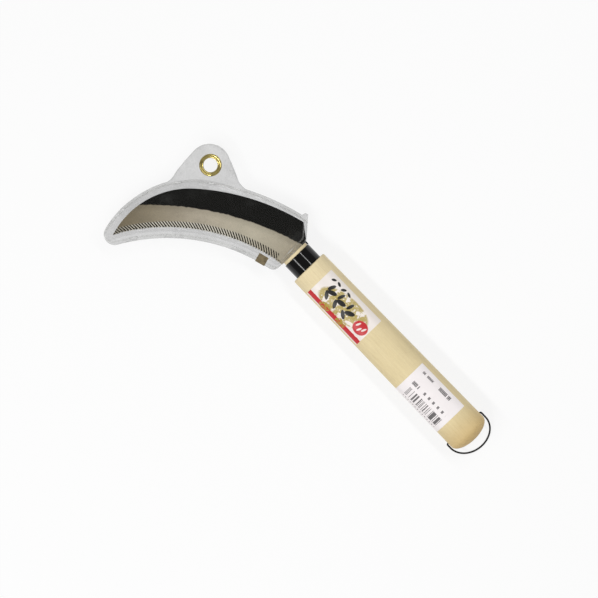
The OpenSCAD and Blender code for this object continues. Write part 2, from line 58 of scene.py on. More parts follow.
class Body(Enum):
    """Rigid bodies of the model."""

    SICKLE = "sickle"
    BAIL = "bail"
    COVER = "cover"


def srgb(red: float, green: float, blue: float) -> tuple[float, float, float, float]:
    """Turns a display colour into the linear colour that a shader takes.

    Args:
        red: Red from 0 to 255.
        green: Green from 0 to 255.
        blue: Blue from 0 to 255.

    Returns:
        The linear colour with an alpha of 1.
    """
    c = np.array([red, green, blue]) / 255
    c = np.where(c <= 0.04045, c / 12.92, ((c + 0.055) / 1.055) ** 2.4)
    return (*(float(v) for v in c), 1.0)


def model_point(x: float, y: float, z: float = 0.0) -> tuple[float, float, float]:
    """Gives a point in the model's frame in metres, from millimetres off the shoulder."""
    return tuple(float(v) for v in (np.array([x, y, z]) + MIDDLE) * MM)


def ease(t: np.ndarray) -> np.ndarray:
    """Rises smoothly from 0 to 1, as three times the square less twice the cube."""
    u = np.clip(t, 0, 1)
    return u * u * (3 - 2 * u)


def ridge(distance: np.ndarray, width: float) -> np.ndarray:
    """Gives a bell curve of height 1 where a distance is 0."""
    return np.exp(-((distance / width) ** 2))


def grid_quads(rows: int, cols: int, wrap: bool = False) -> np.ndarray:
    """Joins a grid of points with quads.

    Args:
        rows: Number of rows.
        cols: Number of points in a row.
        wrap: Whether the last point of a row joins its first.

    Returns:
        One row of four point numbers for each quad.
    """
    i, j = np.meshgrid(np.arange(rows - 1), np.arange(cols if wrap else cols - 1), indexing="ij")
    k = (j + 1) % cols
    first, second = i * cols, (i + 1) * cols
    return np.stack([first + j, first + k, second + k, second + j], -1).reshape(-1, 4)


def slab(lower: np.ndarray, upper: np.ndarray, keep: np.ndarray) -> tuple[np.ndarray, np.ndarray]:
    """Closes the space between two grids of points over the cells that are kept.

    A wall stands on each cell edge whose neighbour is missing.

    Args:
        lower: Lower points, rows by columns by three.
        upper: Upper points in the same order.
        keep: Whether each cell is kept, rows by columns less one each.

    Returns:
        The points of both grids and the quads over them.
    """
    rows, cols = lower.shape[:2]
    count = rows * cols
    numbers = np.arange(count).reshape(rows, cols)
    a, b = numbers[:-1, :-1], numbers[:-1, 1:]
    c, d = numbers[1:, 1:], numbers[1:, :-1]
    quads = [np.stack([a, b, c, d], -1)[keep], np.stack([a, d, c, b], -1)[keep] + count]
    padded = np.pad(keep, 1)
    for (p, q), there in (((a, b), padded[:-2, 1:-1]), ((b, c), padded[1:-1, 2:]),
                          ((c, d), padded[2:, 1:-1]), ((d, a), padded[1:-1, :-2])):
        edge = keep & ~there
        quads.append(np.stack([p[edge], p[edge] + count, q[edge] + count, q[edge]], -1))
    return np.concatenate([lower.reshape(-1, 3), upper.reshape(-1, 3)]), np.concatenate(quads)


def revolve(profile: np.ndarray, steps: int = 128) -> tuple[np.ndarray, np.ndarray]:
    """Turns a closed profile about the X axis.

    A point is its place along X, and its radius times the sine and cosine of each turn.

    Args:
        profile: Places and radii of a closed loop.
        steps: Number of turns.

    Returns:
        Points and quads.
    """
    loop = np.vstack([profile, profile[:1]])
    turn = np.linspace(0, 2 * np.pi, steps, endpoint=False)
    x = np.repeat(loop[:, :1], steps, 1)
    points = np.stack([x, loop[:, 1:] * np.cos(turn), loop[:, 1:] * np.sin(turn)], -1)
    return points.reshape(-1, 3), grid_quads(len(loop), steps, True)


def tube(path: np.ndarray, normal: np.ndarray, radius: float, sides: int = 20,
         point: float = 0.02) -> tuple[np.ndarray, np.ndarray]:
    """Carries a circle along a flat path and closes its ends with rings that shrink to a point.

    A point is the path's point, plus the radius times the cosine along the side direction and the
    sine along the plane's normal.

    Args:
        path: Points of the path.
        normal: Normal of the path's plane.
        radius: Radius of the wire.
        sides: Number of sides.
        point: Share of the radius that the end rings keep.

    Returns:
        Points and quads.
    """
    tangent = np.gradient(path, axis=0)
    tangent /= np.linalg.norm(tangent, axis=1, keepdims=True)
    side = np.cross(tangent, normal)
    turn = np.linspace(0, 2 * np.pi, sides, endpoint=False)
    ring = np.cos(turn)[None, :, None] * side[:, None] + np.sin(turn)[None, :, None] * normal
    size = np.full(len(path), radius)
    size[[0, -1]] = radius * point
    points = path[:, None] + ring * size[:, None, None]
    return points.reshape(-1, 3), grid_quads(len(path), sides, True)


def link(name: str, data: bpy.types.ID) -> bpy.types.Object:
    """Puts a mesh, a light or a camera into the scene as a new object.

    Args:
        name: Name of the object.
        data: What it shows.

    Returns:
        The object.
    """
    piece = bpy.data.objects.new(name, data)
    bpy.context.collection.objects.link(piece)
    return piece


def make_mesh(name: str, points: np.ndarray, quads: np.ndarray, flats: float = 40.0,
              uv: np.ndarray | None = None, values: dict[str, np.ndarray] | None = None,
              merge: float = 1e-6) -> bpy.types.Object:
    """Writes points and faces into a new object, with its faces outwards.

    Args:
        name: Name of the piece.
        points: Points in millimetres off the shoulder.
        quads: Four point numbers a face.
        flats: Angle in degrees above which an edge stays sharp.
        uv: Place of each point in the pattern, if the piece has one.
        values: Named values for each point.
        merge: Distance in metres below which points are joined.

    Returns:
        The object, linked to the scene.
    """
    mesh = bpy.data.meshes.new(name)
    mesh.from_pydata(((points + MIDDLE) * MM).tolist(), [], quads.tolist())
    if uv is not None:
        index = np.empty(len(mesh.loops), int)
        mesh.loops.foreach_get("vertex_index", index)
        mesh.uv_layers.new(name="UVMap").data.foreach_set("uv", uv[index].ravel())
    for key, value in (values or {}).items():
        mesh.attributes.new(key, "FLOAT", "POINT").data.foreach_set("value", value.ravel())
    shape = bmesh.new()
    shape.from_mesh(mesh)
    bmesh.ops.remove_doubles(shape, verts=shape.verts, dist=merge)
    bmesh.ops.recalc_face_normals(shape, faces=shape.faces)
    shape.to_mesh(mesh)
    shape.free()
    mesh.polygons.foreach_set("use_smooth", np.ones(len(mesh.polygons), bool))
    mesh.set_sharp_from_angle(angle=math.radians(flats))
    return link(name, mesh)


def place(piece: bpy.types.Object, body: Body, slot: str, material: bpy.types.Material,
          *nodes: str) -> None:
    """Dresses a new piece, lets it ride on its body and hides the nodes that it stands for.

    Args:
        piece: The new piece.
        body: Body that it rides on.
        slot: Not used.
        material: Its finish.
        nodes: CAD nodes that it replaces.
    """
    piece.data.materials.append(material)
    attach(piece, body.value)
    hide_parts(*nodes)
    LOG.info("%s: %d faces, in place of %s", piece.name, len(piece.data.polygons), ", ".join(nodes))


def dress(node: str, material: bpy.types.Material) -> None:
    """Gives a CAD node that keeps its own shape a finish.

    Args:
        node: Name of the node.
        material: Its finish.
    """
    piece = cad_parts[node]
    if isinstance(piece, str):
        piece = bpy.data.objects[piece]
    piece.data.materials.clear()
    piece.data.materials.append(material)
    LOG.info("%s: keeps its own shape", node)


class Signal:
    """Output of a node, which takes part in plain arithmetic."""

    def __init__(self, net: "Net", socket: bpy.types.NodeSocket) -> None:
        """Holds the net and the output."""
        self.net = net
        self.socket = socket

    def __add__(self, other: "Value") -> "Signal":
        """Adds a value."""
        return self.net.math("ADD", self, other)

    def __sub__(self, other: "Value") -> "Signal":
        """Takes a value away."""
        return self.net.math("SUBTRACT", self, other)

    def __rsub__(self, other: float) -> "Signal":
        """Takes the signal away from a number."""
        return self.net.math("SUBTRACT", other, self)

    def __mul__(self, other: "Value") -> "Signal":
        """Multiplies by a value."""
        return self.net.math("MULTIPLY", self, other)

    def __truediv__(self, other: "Value") -> "Signal":
        """Divides by a value."""
        return self.net.math("DIVIDE", self, other)


Value = Signal | float | tuple


class Net:
    """Places and links the nodes of one tree."""

    def __init__(self, tree: bpy.types.NodeTree) -> None:
        """Starts with an empty tree."""
        self.tree = tree
        tree.nodes.clear()

    def feed(self, socket: bpy.types.NodeSocket, value: Value) -> None:
        """Links a signal to a socket, or writes a plain value into it.

        Args:
            socket: The input.
            value: What goes into it.
        """
        if isinstance(value, Signal):
            self.tree.links.new(value.socket, socket)
        else:
            socket.default_value = value

    def node(self, kind: str, settings: dict | None = None, *values: Value,
             **inputs: Value) -> bpy.types.Node:
        """Adds a node.

        Args:
            kind: Type of the node.
            settings: Its own settings.
            values: Its first inputs in order.
            inputs: Its inputs by name, with underscores for spaces.

        Returns:
            The node.
        """
        node = self.tree.nodes.new(kind)
        for key, value in (settings or {}).items():
            setattr(node, key, value)
        for socket, value in zip(node.inputs, values):
            self.feed(socket, value)
        for key, value in inputs.items():
            self.feed(node.inputs[key.replace("_", " ")], value)
        return node

    def put(self, kind: str, settings: dict | None = None, *values: Value,
            **inputs: Value) -> list[Signal]:
        """Adds a node in the way that node does, and gives its outputs."""
        return [Signal(self, socket) for socket in self.node(kind, settings, *values, **inputs).outputs]

    def use(self, group: bpy.types.NodeTree, *values: Value) -> list[Signal]:
        """Places a group with its inputs in order, and gives its outputs."""
        return self.put("ShaderNodeGroup", {"node_tree": group}, *values)

    def math(self, operation: str, *values: Value, clamp: bool = False) -> Signal:
        """Works out a sum, product or other operation on up to three values."""
        return self.put("ShaderNodeMath", {"operation": operation, "use_clamp": clamp}, *values)[0]

    def between(self, value: Value, low: float, high: float) -> Signal:
        """Gives a smooth step of a value from 0 at low to 1 at high."""
        return self.put("ShaderNodeMapRange", {"interpolation_type": "SMOOTHSTEP"},
                        Value=value, From_Min=low, From_Max=high)[0]

    def share(self, value: Value, low: float, high: float) -> Signal:
        """Gives a value's even share of the way from low to high."""
        return self.put("ShaderNodeMapRange", Value=value, From_Min=low, From_Max=high)[0]

    def mix(self, share: Value, first: Value, second: Value, blend: str = "MIX") -> Signal:
        """Mixes two colours by a share of the second.

        Args:
            share: Share of the second colour.
            first: First colour.
            second: Second colour.
            blend: How the second is laid over the first.

        Returns:
            The colour.
        """
        node = self.node("ShaderNodeMix", {"data_type": "RGBA", "blend_type": blend}, share)
        self.feed(node.inputs[6], first)
        self.feed(node.inputs[7], second)
        return Signal(self, node.outputs[2])

    def shade(self, colour: Value, tone: Signal) -> Signal:
        """Makes a colour lighter or darker by a tone about 1."""
        grey = self.put("ShaderNodeCombineColor", Red=tone, Green=tone, Blue=tone)[0]
        return self.mix(1.0, colour, grey, "MULTIPLY")

    def ramp(self, value: Value, stops: tuple[tuple[float, tuple], ...]) -> Signal:
        """Turns a value from 0 to 1 into a colour between stops.

        Args:
            value: The value.
            stops: Place and colour of each stop.

        Returns:
            The colour.
        """
        node = self.node("ShaderNodeValToRGB", None, value)
        band = node.color_ramp.elements
        while len(band) < len(stops):
            band.new(0.5)
        for element, (spot, colour) in zip(band, stops):
            element.position = spot
            element.color = colour
        return Signal(self, node.outputs[0])

    def noise(self, vector: Value, scale: Value, detail: float = 3.0, rough: float = 0.5) -> Signal:
        """Gives smooth noise at a scale, in waves for each unit of the vector."""
        return self.put("ShaderNodeTexNoise", Vector=vector, Scale=scale, Detail=detail,
                        Roughness=rough)[0]

    def scaled(self, vector: Value, scale: tuple[float, float, float]) -> Signal:
        """Scales a vector."""
        return self.put("ShaderNodeMapping", Vector=vector, Scale=scale)[0]

    def split(self, vector: Value) -> list[Signal]:
        """Splits a vector into its three values."""
        return self.put("ShaderNodeSeparateXYZ", None, vector)

    def flat(self, x: Value, y: Value) -> Signal:
        """Joins two values into a vector without height."""
        return self.put("ShaderNodeCombineXYZ", None, x, y, 0.0)[0]

    def offset(self, vector: Value, centre: Value) -> Signal:
        """Gives a vector from a centre."""
        return self.put("ShaderNodeVectorMath", {"operation": "SUBTRACT"}, vector, centre)[0]

    def shader(self, name: str, relief: Signal, depth: float, **inputs: Value) -> None:
        """Ends a material with its shader.

        Args:
            name: Name of the shader node.
            relief: Height of the surface's relief.
            depth: Depth of the relief in metres.
            inputs: Inputs of the shader by name.
        """
        bump = self.put("ShaderNodeBump", Height=relief, Distance=depth, Strength=1.0)[0]
        surface = self.put("ShaderNodeBsdfPrincipled", {"name": name}, Normal=bump, **inputs)[0]
        self.node("ShaderNodeOutputMaterial", None, surface)


def new_group(name: str, inputs: dict[str, str],
              outputs: tuple[str, ...]) -> tuple[Net, list[Signal], bpy.types.Node]:
    """Starts a shader node group.

    Args:
        name: Name of the group.
        inputs: Kind of each input, Float or Vector.
        outputs: Names of its outputs, all values.

    Returns:
        The group's net, its inputs as signals and its output node.
    """
    tree = bpy.data.node_groups.new(name, "ShaderNodeTree")
    for key, kind in inputs.items():
        tree.interface.new_socket(name=key, in_out="INPUT", socket_type=f"NodeSocket{kind}")
    for key in outputs:
        tree.interface.new_socket(name=key, in_out="OUTPUT", socket_type="NodeSocketFloat")
    net = Net(tree)
    return net, net.put("NodeGroupInput")[:len(inputs)], net.node("NodeGroupOutput")


class Effects:
    """Shared effects, each a node group that is built once."""

    def __init__(self) -> None:
        """Builds the groups."""
        self.speckle = self._speckle()
        self.ellipse = self._ellipse()
        self.arc = self._arc()

    @staticmethod
    def _speckle() -> bpy.types.NodeTree:
        """Builds uneven tone: coarse clouds with fine grain on them, about 1, and a mask of specks.

        Returns:
            The group.
        """
        kinds = {"Vector": "Vector", "Clouds": "Float", "Grain": "Float", "Amount": "Float"}
        net, (vector, clouds, grain, amount), out = new_group("speckle", kinds, ("Tone", "Specks"))
        coarse, fine = net.noise(vector, clouds, 2.0), net.noise(vector, grain, 2.0)
        swing = (coarse * 0.6 + fine * 0.4 - 0.5) * amount
        net.feed(out.inputs[0], swing * 2.0 + 1.0)
        net.feed(out.inputs[1], net.between(fine, 0.62, 0.7))
        return net.tree

    @staticmethod
    def _ellipse() -> bpy.types.NodeTree:
        """Builds the mask of one turned ellipse on a flat pattern in millimetres.

        It is 1 where the squares of the places over half the length and width add up to less than 1.

        Returns:
            The group.
        """
        kinds = {"Vector": "Vector", "Centre": "Vector", "Turn": "Float", "Length": "Float",
                 "Width": "Float"}
        net, (vector, centre, turn, length, width), out = new_group("ellipse", kinds, ("Mask",))
        turned = net.put("ShaderNodeVectorRotate", {"rotation_type": "Z_AXIS"},
                         Vector=net.offset(vector, centre), Angle=turn)[0]
        x, y, _ = net.split(turned)
        along, across = x / length, y / width
        net.feed(out.inputs[0], 1.0 - net.between(along * along + across * across, 0.85, 1.1))
        return net.tree

    @staticmethod
    def _arc() -> bpy.types.NodeTree:
        """Builds the distance from a centre in millimetres and the bearing about it in degrees.

        Returns:
            The group.
        """
        kinds = {"Vector": "Vector", "Centre": "Vector"}
        net, (vector, centre), out = new_group("arc", kinds, ("Radius", "Bearing"))
        x, y, _ = net.split(net.offset(vector, centre))
        net.feed(out.inputs[0], net.math("SQRT", x * x + y * y) * (1.0 / MM))
        net.feed(out.inputs[1], net.math("DEGREES", net.math("ARCTAN2", y, x)))
        return net.tree


@dataclass(frozen=True)
class Finish:
    """A named material, which each kind of finish paints with its own colours and scales."""

    name: str

    def build(self, effects: Effects, space: str = "Object") -> bpy.types.Material:
        """Builds the material.

        Args:
            effects: The shared effects.
            space: Coordinates that it is painted on, Object or UV.

        Returns:
            The material.
        """
        material = bpy.data.materials.new(self.name)
        material.use_nodes = True
        net = Net(material.node_tree)
        self.paint(net, effects, Signal(net, net.node("ShaderNodeTexCoord").outputs[space]))
        return material

    def paint(self, net: Net, effects: Effects, spot: Signal) -> None:
        """Fills the material's net, up to its shader.

        Args:
            net: Net of the material.
            effects: The shared effects.
            spot: Coordinates.
        """
        raise NotImplementedError


@dataclass(frozen=True)
class PaleWood(Finish):
    """Bare pale wood with fine straight grain along the handle, yellower towards the butt.

    Grain, pores and the rings' sway are noise that is drawn out along the handle. The rings are a
    sine of the place across and down the wood and of that sway.
    """

    front: tuple = srgb(232, 216, 176)
    middle: tuple = srgb(227, 210, 166)
    butt: tuple = srgb(202, 170, 110)
    streak: tuple = srgb(196, 170, 118)
    reach: tuple[float, float] = (-0.027, 0.141)
    butt_start: float = 0.86
    grain_length: float = 0.045
    grain_scale: float = 1500.0
    grain_strength: float = 0.24
    pore_length: float = 0.08
    pore_scale: float = 3200.0
    pore_strength: float = 0.12
    sway_length: float = 0.4
    sway_scale: float = 30.0
    sway: float = 22.0
    rings_across: float = 1900.0
    rings_down: float = 900.0
    ring_strength: float = 0.025
    relief: float = 0.00006

    def paint(self, net: Net, effects: Effects, spot: Signal) -> None:
        """Paints the wood.

        Args:
            net: Net of the material.
            effects: The shared effects.
            spot: Coordinates.
        """
        x, y, z = net.split(spot)
        base = net.ramp(net.share(x, *self.reach), ((0.0, self.front), (0.5, self.middle),
                                                    (self.butt_start, self.middle), (1.0, self.butt)))
        bend = net.noise(net.scaled(spot, (self.sway_length, 1.0, 1.0)), self.sway_scale)
        rings = net.math("SINE", y * self.rings_across + (z * self.rings_down + bend * self.sway))
        grain = net.noise(net.scaled(spot, (self.grain_length, 1.0, 1.0)), self.grain_scale, 6.0, 0.65)
        pores = net.noise(net.scaled(spot, (self.pore_length, 1.0, 1.0)), self.pore_scale, 1.0)
        pores = net.between(pores, 0.62, 0.75)
        streaks = (rings + 1.0) * self.ring_strength + net.between(grain, 0.42, 0.72) * self.grain_strength
        streaks = net.math("ADD", streaks, pores * self.pore_strength, clamp=True)
        tone = net.use(effects.speckle, spot, 45.0, 900.0, 0.12)[0]
        net.shader("wood", grain - pores, self.relief,
                   Base_Color=net.shade(net.mix(streaks, base, self.streak), tone),
                   Roughness=grain * 0.18 + 0.5, Specular_IOR_Level=0.35)


@dataclass(frozen=True)
class GlossBlack(Finish):
    """Smooth black lacquer or wire with faint scuffs."""

    colour: tuple = srgb(5, 5, 5)
    roughness: float = 0.1
    specular: float = 0.28
    scuffed: tuple = srgb(46, 44, 40)
    scuffs: float = 0.12
    scuff_roughness: float = 0.6
    relief: float = 0.00002

    def paint(self, net: Net, effects: Effects, spot: Signal) -> None:
        """Paints the black.

        Args:
            net: Net of the material.
            effects: The shared effects.
            spot: Coordinates.
        """
        tone, specks = net.use(effects.speckle, spot, 120.0, 2600.0, 0.5)
        scuff = specks * self.scuffs
        net.shader("black", tone, self.relief, Base_Color=net.mix(scuff, self.colour, self.scuffed),
                   Roughness=scuff * self.scuff_roughness + self.roughness,
                   Specular_IOR_Level=self.specular)


@dataclass(frozen=True)
class BladeSteel(Finish):
    """Black forge scale above a ground bevel, with gullets cut slantwise in the bevel's edge, painted near
    black as shade in them, and near-white painted highlights on the flats between them.

    Radii and bearings are in millimetres and degrees about the centre of the edge's arc.
    """

    centre: tuple[float, float, float]
    tip_bearing: float = 151.91
    first_gullet: float = 103.032
    last_gullet: tuple[float, float] = (151.3, 151.8)
    gullet_pitch: float = 0.84337
    gullet_reach: float = 5.6
    tip_loss: float = 1.3
    lean: float = 38.0
    border_radius: float = 153.0
    border_bearing: float = 125.0
    border_curve: float = 0.007
    border_wobble: float = 1.5
    border_blur: float = 0.35
    scale: tuple = srgb(7, 7, 4)
    stain: tuple = srgb(34, 31, 24)
    polish: tuple = ((0.0, srgb(206, 196, 174)), (0.22, srgb(228, 219, 196)),
                     (0.52, srgb(210, 199, 178)), (0.78, srgb(168, 156, 132)),
                     (1.0, srgb(128, 116, 92)))
    mark: tuple = srgb(128, 122, 104)
    shadow: tuple = srgb(70, 66, 54)
    land: tuple = srgb(252, 248, 234)
    nick: tuple = srgb(52, 48, 38)
    gullet: tuple = srgb(5, 4, 3)
    relief: float = 0.00001

    def teeth(self, net: Net, rise: Signal, bearing: Signal, share: Signal) -> tuple[Signal, Signal]:
        """Builds the masks of the gullets, for their cut and painted shade, and of the flats between them,
        for painted highlights.

        The bearing is taken back along the lean to the edge and counted in pitches. Its distance from the
        nearest whole count tells the gullets from the flats between them.

        Args:
            net: Net of the material.
            rise: Distance up from the edge.
            bearing: Bearing.
            share: Share of the way from the heel to the tip.

        Returns:
            The mask of the gullets, for their cut and painted shade, and the mask of the painted highlights
            on the flats between them.
        """
        drift = rise * (math.tan(math.radians(self.lean)) / (EDGE_RADIUS * math.pi / 180))
        count = (bearing - drift - self.first_gullet) / self.gullet_pitch
        near = net.math("ABSOLUTE", net.math("FRACT", count + 0.5) - 0.5)
        reach = self.gullet_reach - share * self.tip_loss
        inside = 1.0 - net.between(rise - reach, -0.9, 0.2)
        start = net.between(bearing, self.first_gullet - 0.6, self.first_gullet - 0.2)
        ends = start * (1.0 - net.between(bearing, *self.last_gullet))
        gullet_cuts_and_shade = (1.0 - net.between(near, 0.17, 0.3)) * inside * ends
        lands = net.between(near, 0.27, 0.36) * inside * (ends * net.between(share, 0.1, 0.45))
        return gullet_cuts_and_shade, lands * (0.95 - net.between(share, 0.7, 1.0) * 0.45)

    def paint(self, net: Net, effects: Effects, spot: Signal) -> None:
        """Paints the steel.

        Args:
            net: Net of the material.
            effects: The shared effects.
            spot: Coordinates.
        """
        radius, bearing = net.use(effects.arc, spot, self.centre)
        off = bearing - self.border_bearing
        wobble = (net.noise(spot, 420.0, 4.0) - 0.5) * self.border_wobble
        border = off * off * self.border_curve + self.border_radius + wobble
        ground = 1.0 - net.between(radius - border, -self.border_blur, self.border_blur)
        share = net.share(bearing, HEEL_BEARING, self.tip_bearing)
        polish = net.ramp(share, self.polish)
        # Grinding marks run along the arc: noise on the radius and, much stretched, the bearing
        lines = net.noise(net.flat(radius * 3.2, bearing * 0.35), 1.6, 5.0, 0.7)
        polish = net.mix(net.between(lines, 0.4, 0.75) * 0.22, polish, self.mark)
        # Up the bevel the polish turns darker just below the scale
        polish = net.mix(net.between(border - radius, 5.5, 0.0) * 0.22, polish, self.shadow)
        rise = radius - EDGE_RADIUS
        gullet_cuts_and_shade, lands = self.teeth(net, rise, bearing, share)
        # Painted highlight: the flats between the gullets are painted near white
        polish = net.mix(lands, polish, self.land)
        nicks = net.between(net.noise(spot, 900.0, 2.0), 0.48, 0.6) * (1.0 - net.between(rise, 0.9, 1.9))
        polish = net.mix(nicks * 0.7, polish, self.nick)
        # Painted shade: the gullets are painted near black, and their cut also goes into the relief
        polish = net.mix(gullet_cuts_and_shade, polish, self.gullet)
        specks = net.use(effects.speckle, spot, 70.0, 1400.0, 0.6)[1]
        black = net.mix(specks * 0.08, self.scale, self.stain)
        net.shader("steel", lines * ground + gullet_cuts_and_shade * -2.0, self.relief,
                   Base_Color=net.mix(ground, black, polish),
                   Roughness=0.46 - ground * 0.04 + lines * 0.12, Metallic=ground * 0.2,
                   Specular_IOR_Level=0.14)


@dataclass(frozen=True)
class ClearVinyl(Finish):
    """Thin clear vinyl, greyer where it is creased or pressed into a weld, with white glints there painted
    as highlights.
    """

    alpha: float = 0.115
    weld_alpha: float = 0.2
    haze_alpha: float = 0.05
    painted_glint_alpha: float = 0.45
    clear: tuple = srgb(26, 26, 24)
    pressed: tuple = srgb(232, 232, 228)
    painted_glint_colour: tuple = srgb(255, 255, 255)
    relief: float = 0.0004

    def paint(self, net: Net, effects: Effects, spot: Signal) -> None:
        """Paints the vinyl.

        Args:
            net: Net of the material.
            effects: The shared effects.
            spot: Coordinates.
        """
        weld = Signal(net, net.node("ShaderNodeAttribute", {"attribute_name": "weld"}).outputs["Fac"])
        crease = net.noise(net.scaled(spot, (1.0, 1.0, 0.2)), 90.0, 5.0, 0.6)
        tone = net.use(effects.speckle, spot, 60.0, 700.0, 0.5)[0]
        haze = net.between(crease, 0.5, 0.8)
        grey = net.math("ADD", weld * 0.75, haze * 0.1, clamp=True)
        # Painted highlight: white glints along the weld, in the colour and in the alpha
        painted_glint = weld * net.between(net.noise(spot, 110.0, 3.0), 0.55, 0.63)
        colour = net.mix(painted_glint, net.mix(grey, self.clear, self.pressed), self.painted_glint_colour)
        alpha = weld * self.weld_alpha + haze * self.haze_alpha + self.alpha + painted_glint * self.painted_glint_alpha
        net.shader("vinyl", crease, self.relief, Base_Color=colour,
                   Alpha=net.math("MULTIPLY", alpha, tone, clamp=True), Roughness=0.12,
                   Specular_IOR_Level=0.6)


@dataclass(frozen=True)
class Metal(Finish):
    """Dull metal, for the clip and the hidden pin, darker where its tone is high."""

    bright: tuple
    dark: tuple
    clouds: float = 300.0
    grain: float = 2400.0
    swing: float = 0.8
    tarnish: tuple[float, float] = (0.8, 1.3)
    roughness: float = 0.42
    speck_roughness: float = 0.2
    metallic: float = 0.4
    relief: float = 0.00002

    def paint(self, net: Net, effects: Effects, spot: Signal) -> None:
        """Paints the metal.

        Args:
            net: Net of the material.
            effects: The shared effects.
            spot: Coordinates.
        """
        tone, specks = net.use(effects.speckle, spot, self.clouds, self.grain, self.swing)
        net.shader("metal", tone, self.relief,
                   Base_Color=net.mix(net.between(tone, *self.tarnish), self.bright, self.dark),
                   Roughness=specks * self.speck_roughness + self.roughness, Metallic=self.metallic)


@dataclass(frozen=True)
class Brass(Metal):
    """Rolled brass with a little tarnish."""

    bright: tuple = srgb(206, 188, 116)
    dark: tuple = srgb(100, 86, 46)
    clouds: float = 260.0
    grain: float = 3000.0
    swing: float = 0.6
    tarnish: tuple[float, float] = (0.9, 1.25)
    roughness: float = 0.22
    speck_roughness: float = 0.25
    metallic: float = 0.9
    relief: float = 0.00001


@dataclass(frozen=True)
class LeafLabel(Finish):
    """Printed label in cream, gold, red and black, with plain clusters of leaves.

    Ovals give their centre along and across the label, their turn, half their length and half
    their width. The turns of the leaves are in degrees and the others in radians.
    """

    length: float = 50.0
    width: float = 25.6
    white: tuple = srgb(238, 230, 224)
    gold: tuple = srgb(172, 150, 58)
    straw: tuple = srgb(232, 222, 160)
    red: tuple = srgb(196, 34, 42)
    black: tuple = srgb(14, 11, 8)
    ground: tuple = (25.0, 12.5, 0.12, 21.0, 8.6)
    band: tuple = ((19.8, 20.1), (24.2, 24.4))
    breaks: tuple = ((15.0, 21.4, 0.3, 4.6, 3.4), (31.0, 21.4, 0.3, 4.6, 3.4))
    leaves: tuple = ((9.4, 8.6, 62, 3.0, 1.3), (12.2, 10.8, 18, 3.6, 1.5), (10.4, 14.2, -48, 3.4, 1.4),
                     (18.6, 8.4, 66, 2.8, 1.2), (21.6, 11.2, 8, 3.8, 1.6), (19.0, 14.6, -58, 3.2, 1.4),
                     (28.0, 8.8, 70, 2.8, 1.2), (31.0, 12.0, 24, 3.8, 1.6), (28.2, 15.6, -36, 3.4, 1.4),
                     (6.6, 4.0, 30, 1.9, 0.9), (11.4, 3.6, -24, 1.9, 0.9), (16.4, 4.2, 36, 2.1, 1.0),
                     (21.4, 4.0, -20, 2.0, 0.9))
    seal: tuple = (43.4, 13.6, 0.1, 5.8, 4.6)
    grains: tuple = ((40.6, 12.6, 1.1, 1.9, 0.7), (43.4, 14.6, 1.1, 1.9, 0.7), (46.2, 12.8, 1.1, 1.9, 0.7))
    grain_strength: float = 0.9
    relief: float = 0.00002

    def paint(self, net: Net, effects: Effects, spot: Signal) -> None:
        """Paints the label on its own pattern in millimetres.

        Args:
            net: Net of the material.
            effects: The shared effects.
            spot: Coordinates.
        """
        def oval(x: float, y: float, turn: float, length: float, width: float) -> Signal:
            """Gives the mask of an oval."""
            return net.use(effects.ellipse, pattern, (x, y, 0.0), turn, length, width)[0]

        pattern = net.scaled(spot, (self.length, self.width, 1.0))
        y = net.split(pattern)[1]
        flecks = net.noise(pattern, 0.5, 5.0, 0.7)
        ground = oval(*self.ground)
        patches = net.between(net.noise(pattern, 0.2, 4.0, 0.6), 0.41, 0.48)
        cloud = net.between(flecks, 0.34, 0.46) * patches * ground
        colour = net.mix(cloud * 0.92, self.white, self.gold)
        pale = net.between(net.noise(pattern, 1.6, 3.0), 0.55, 0.66) * ground
        colour = net.mix(pale * 0.55, colour, self.straw)
        start, end = self.band
        band = net.between(y + (flecks - 0.5) * 1.5, *start) * (1.0 - net.between(y, *end))
        colour = net.mix(band, colour, self.red)
        for shape in self.breaks:
            colour = net.mix(oval(*shape) * net.between(flecks, 0.44, 0.52), colour, self.gold)
        for along, across, turn, length, width in self.leaves:
            colour = net.mix(oval(along, across, math.radians(turn), length, width), colour, self.black)
        colour = net.mix(oval(*self.seal), colour, self.red)
        for shape in self.grains:
            colour = net.mix(oval(*shape) * self.grain_strength, colour, self.white)
        tone = net.use(effects.speckle, pattern, 0.2, 4.0, 0.1)[0]
        net.shader("label", tone, self.relief, Base_Color=colour, Roughness=flecks * 0.15 + 0.34)


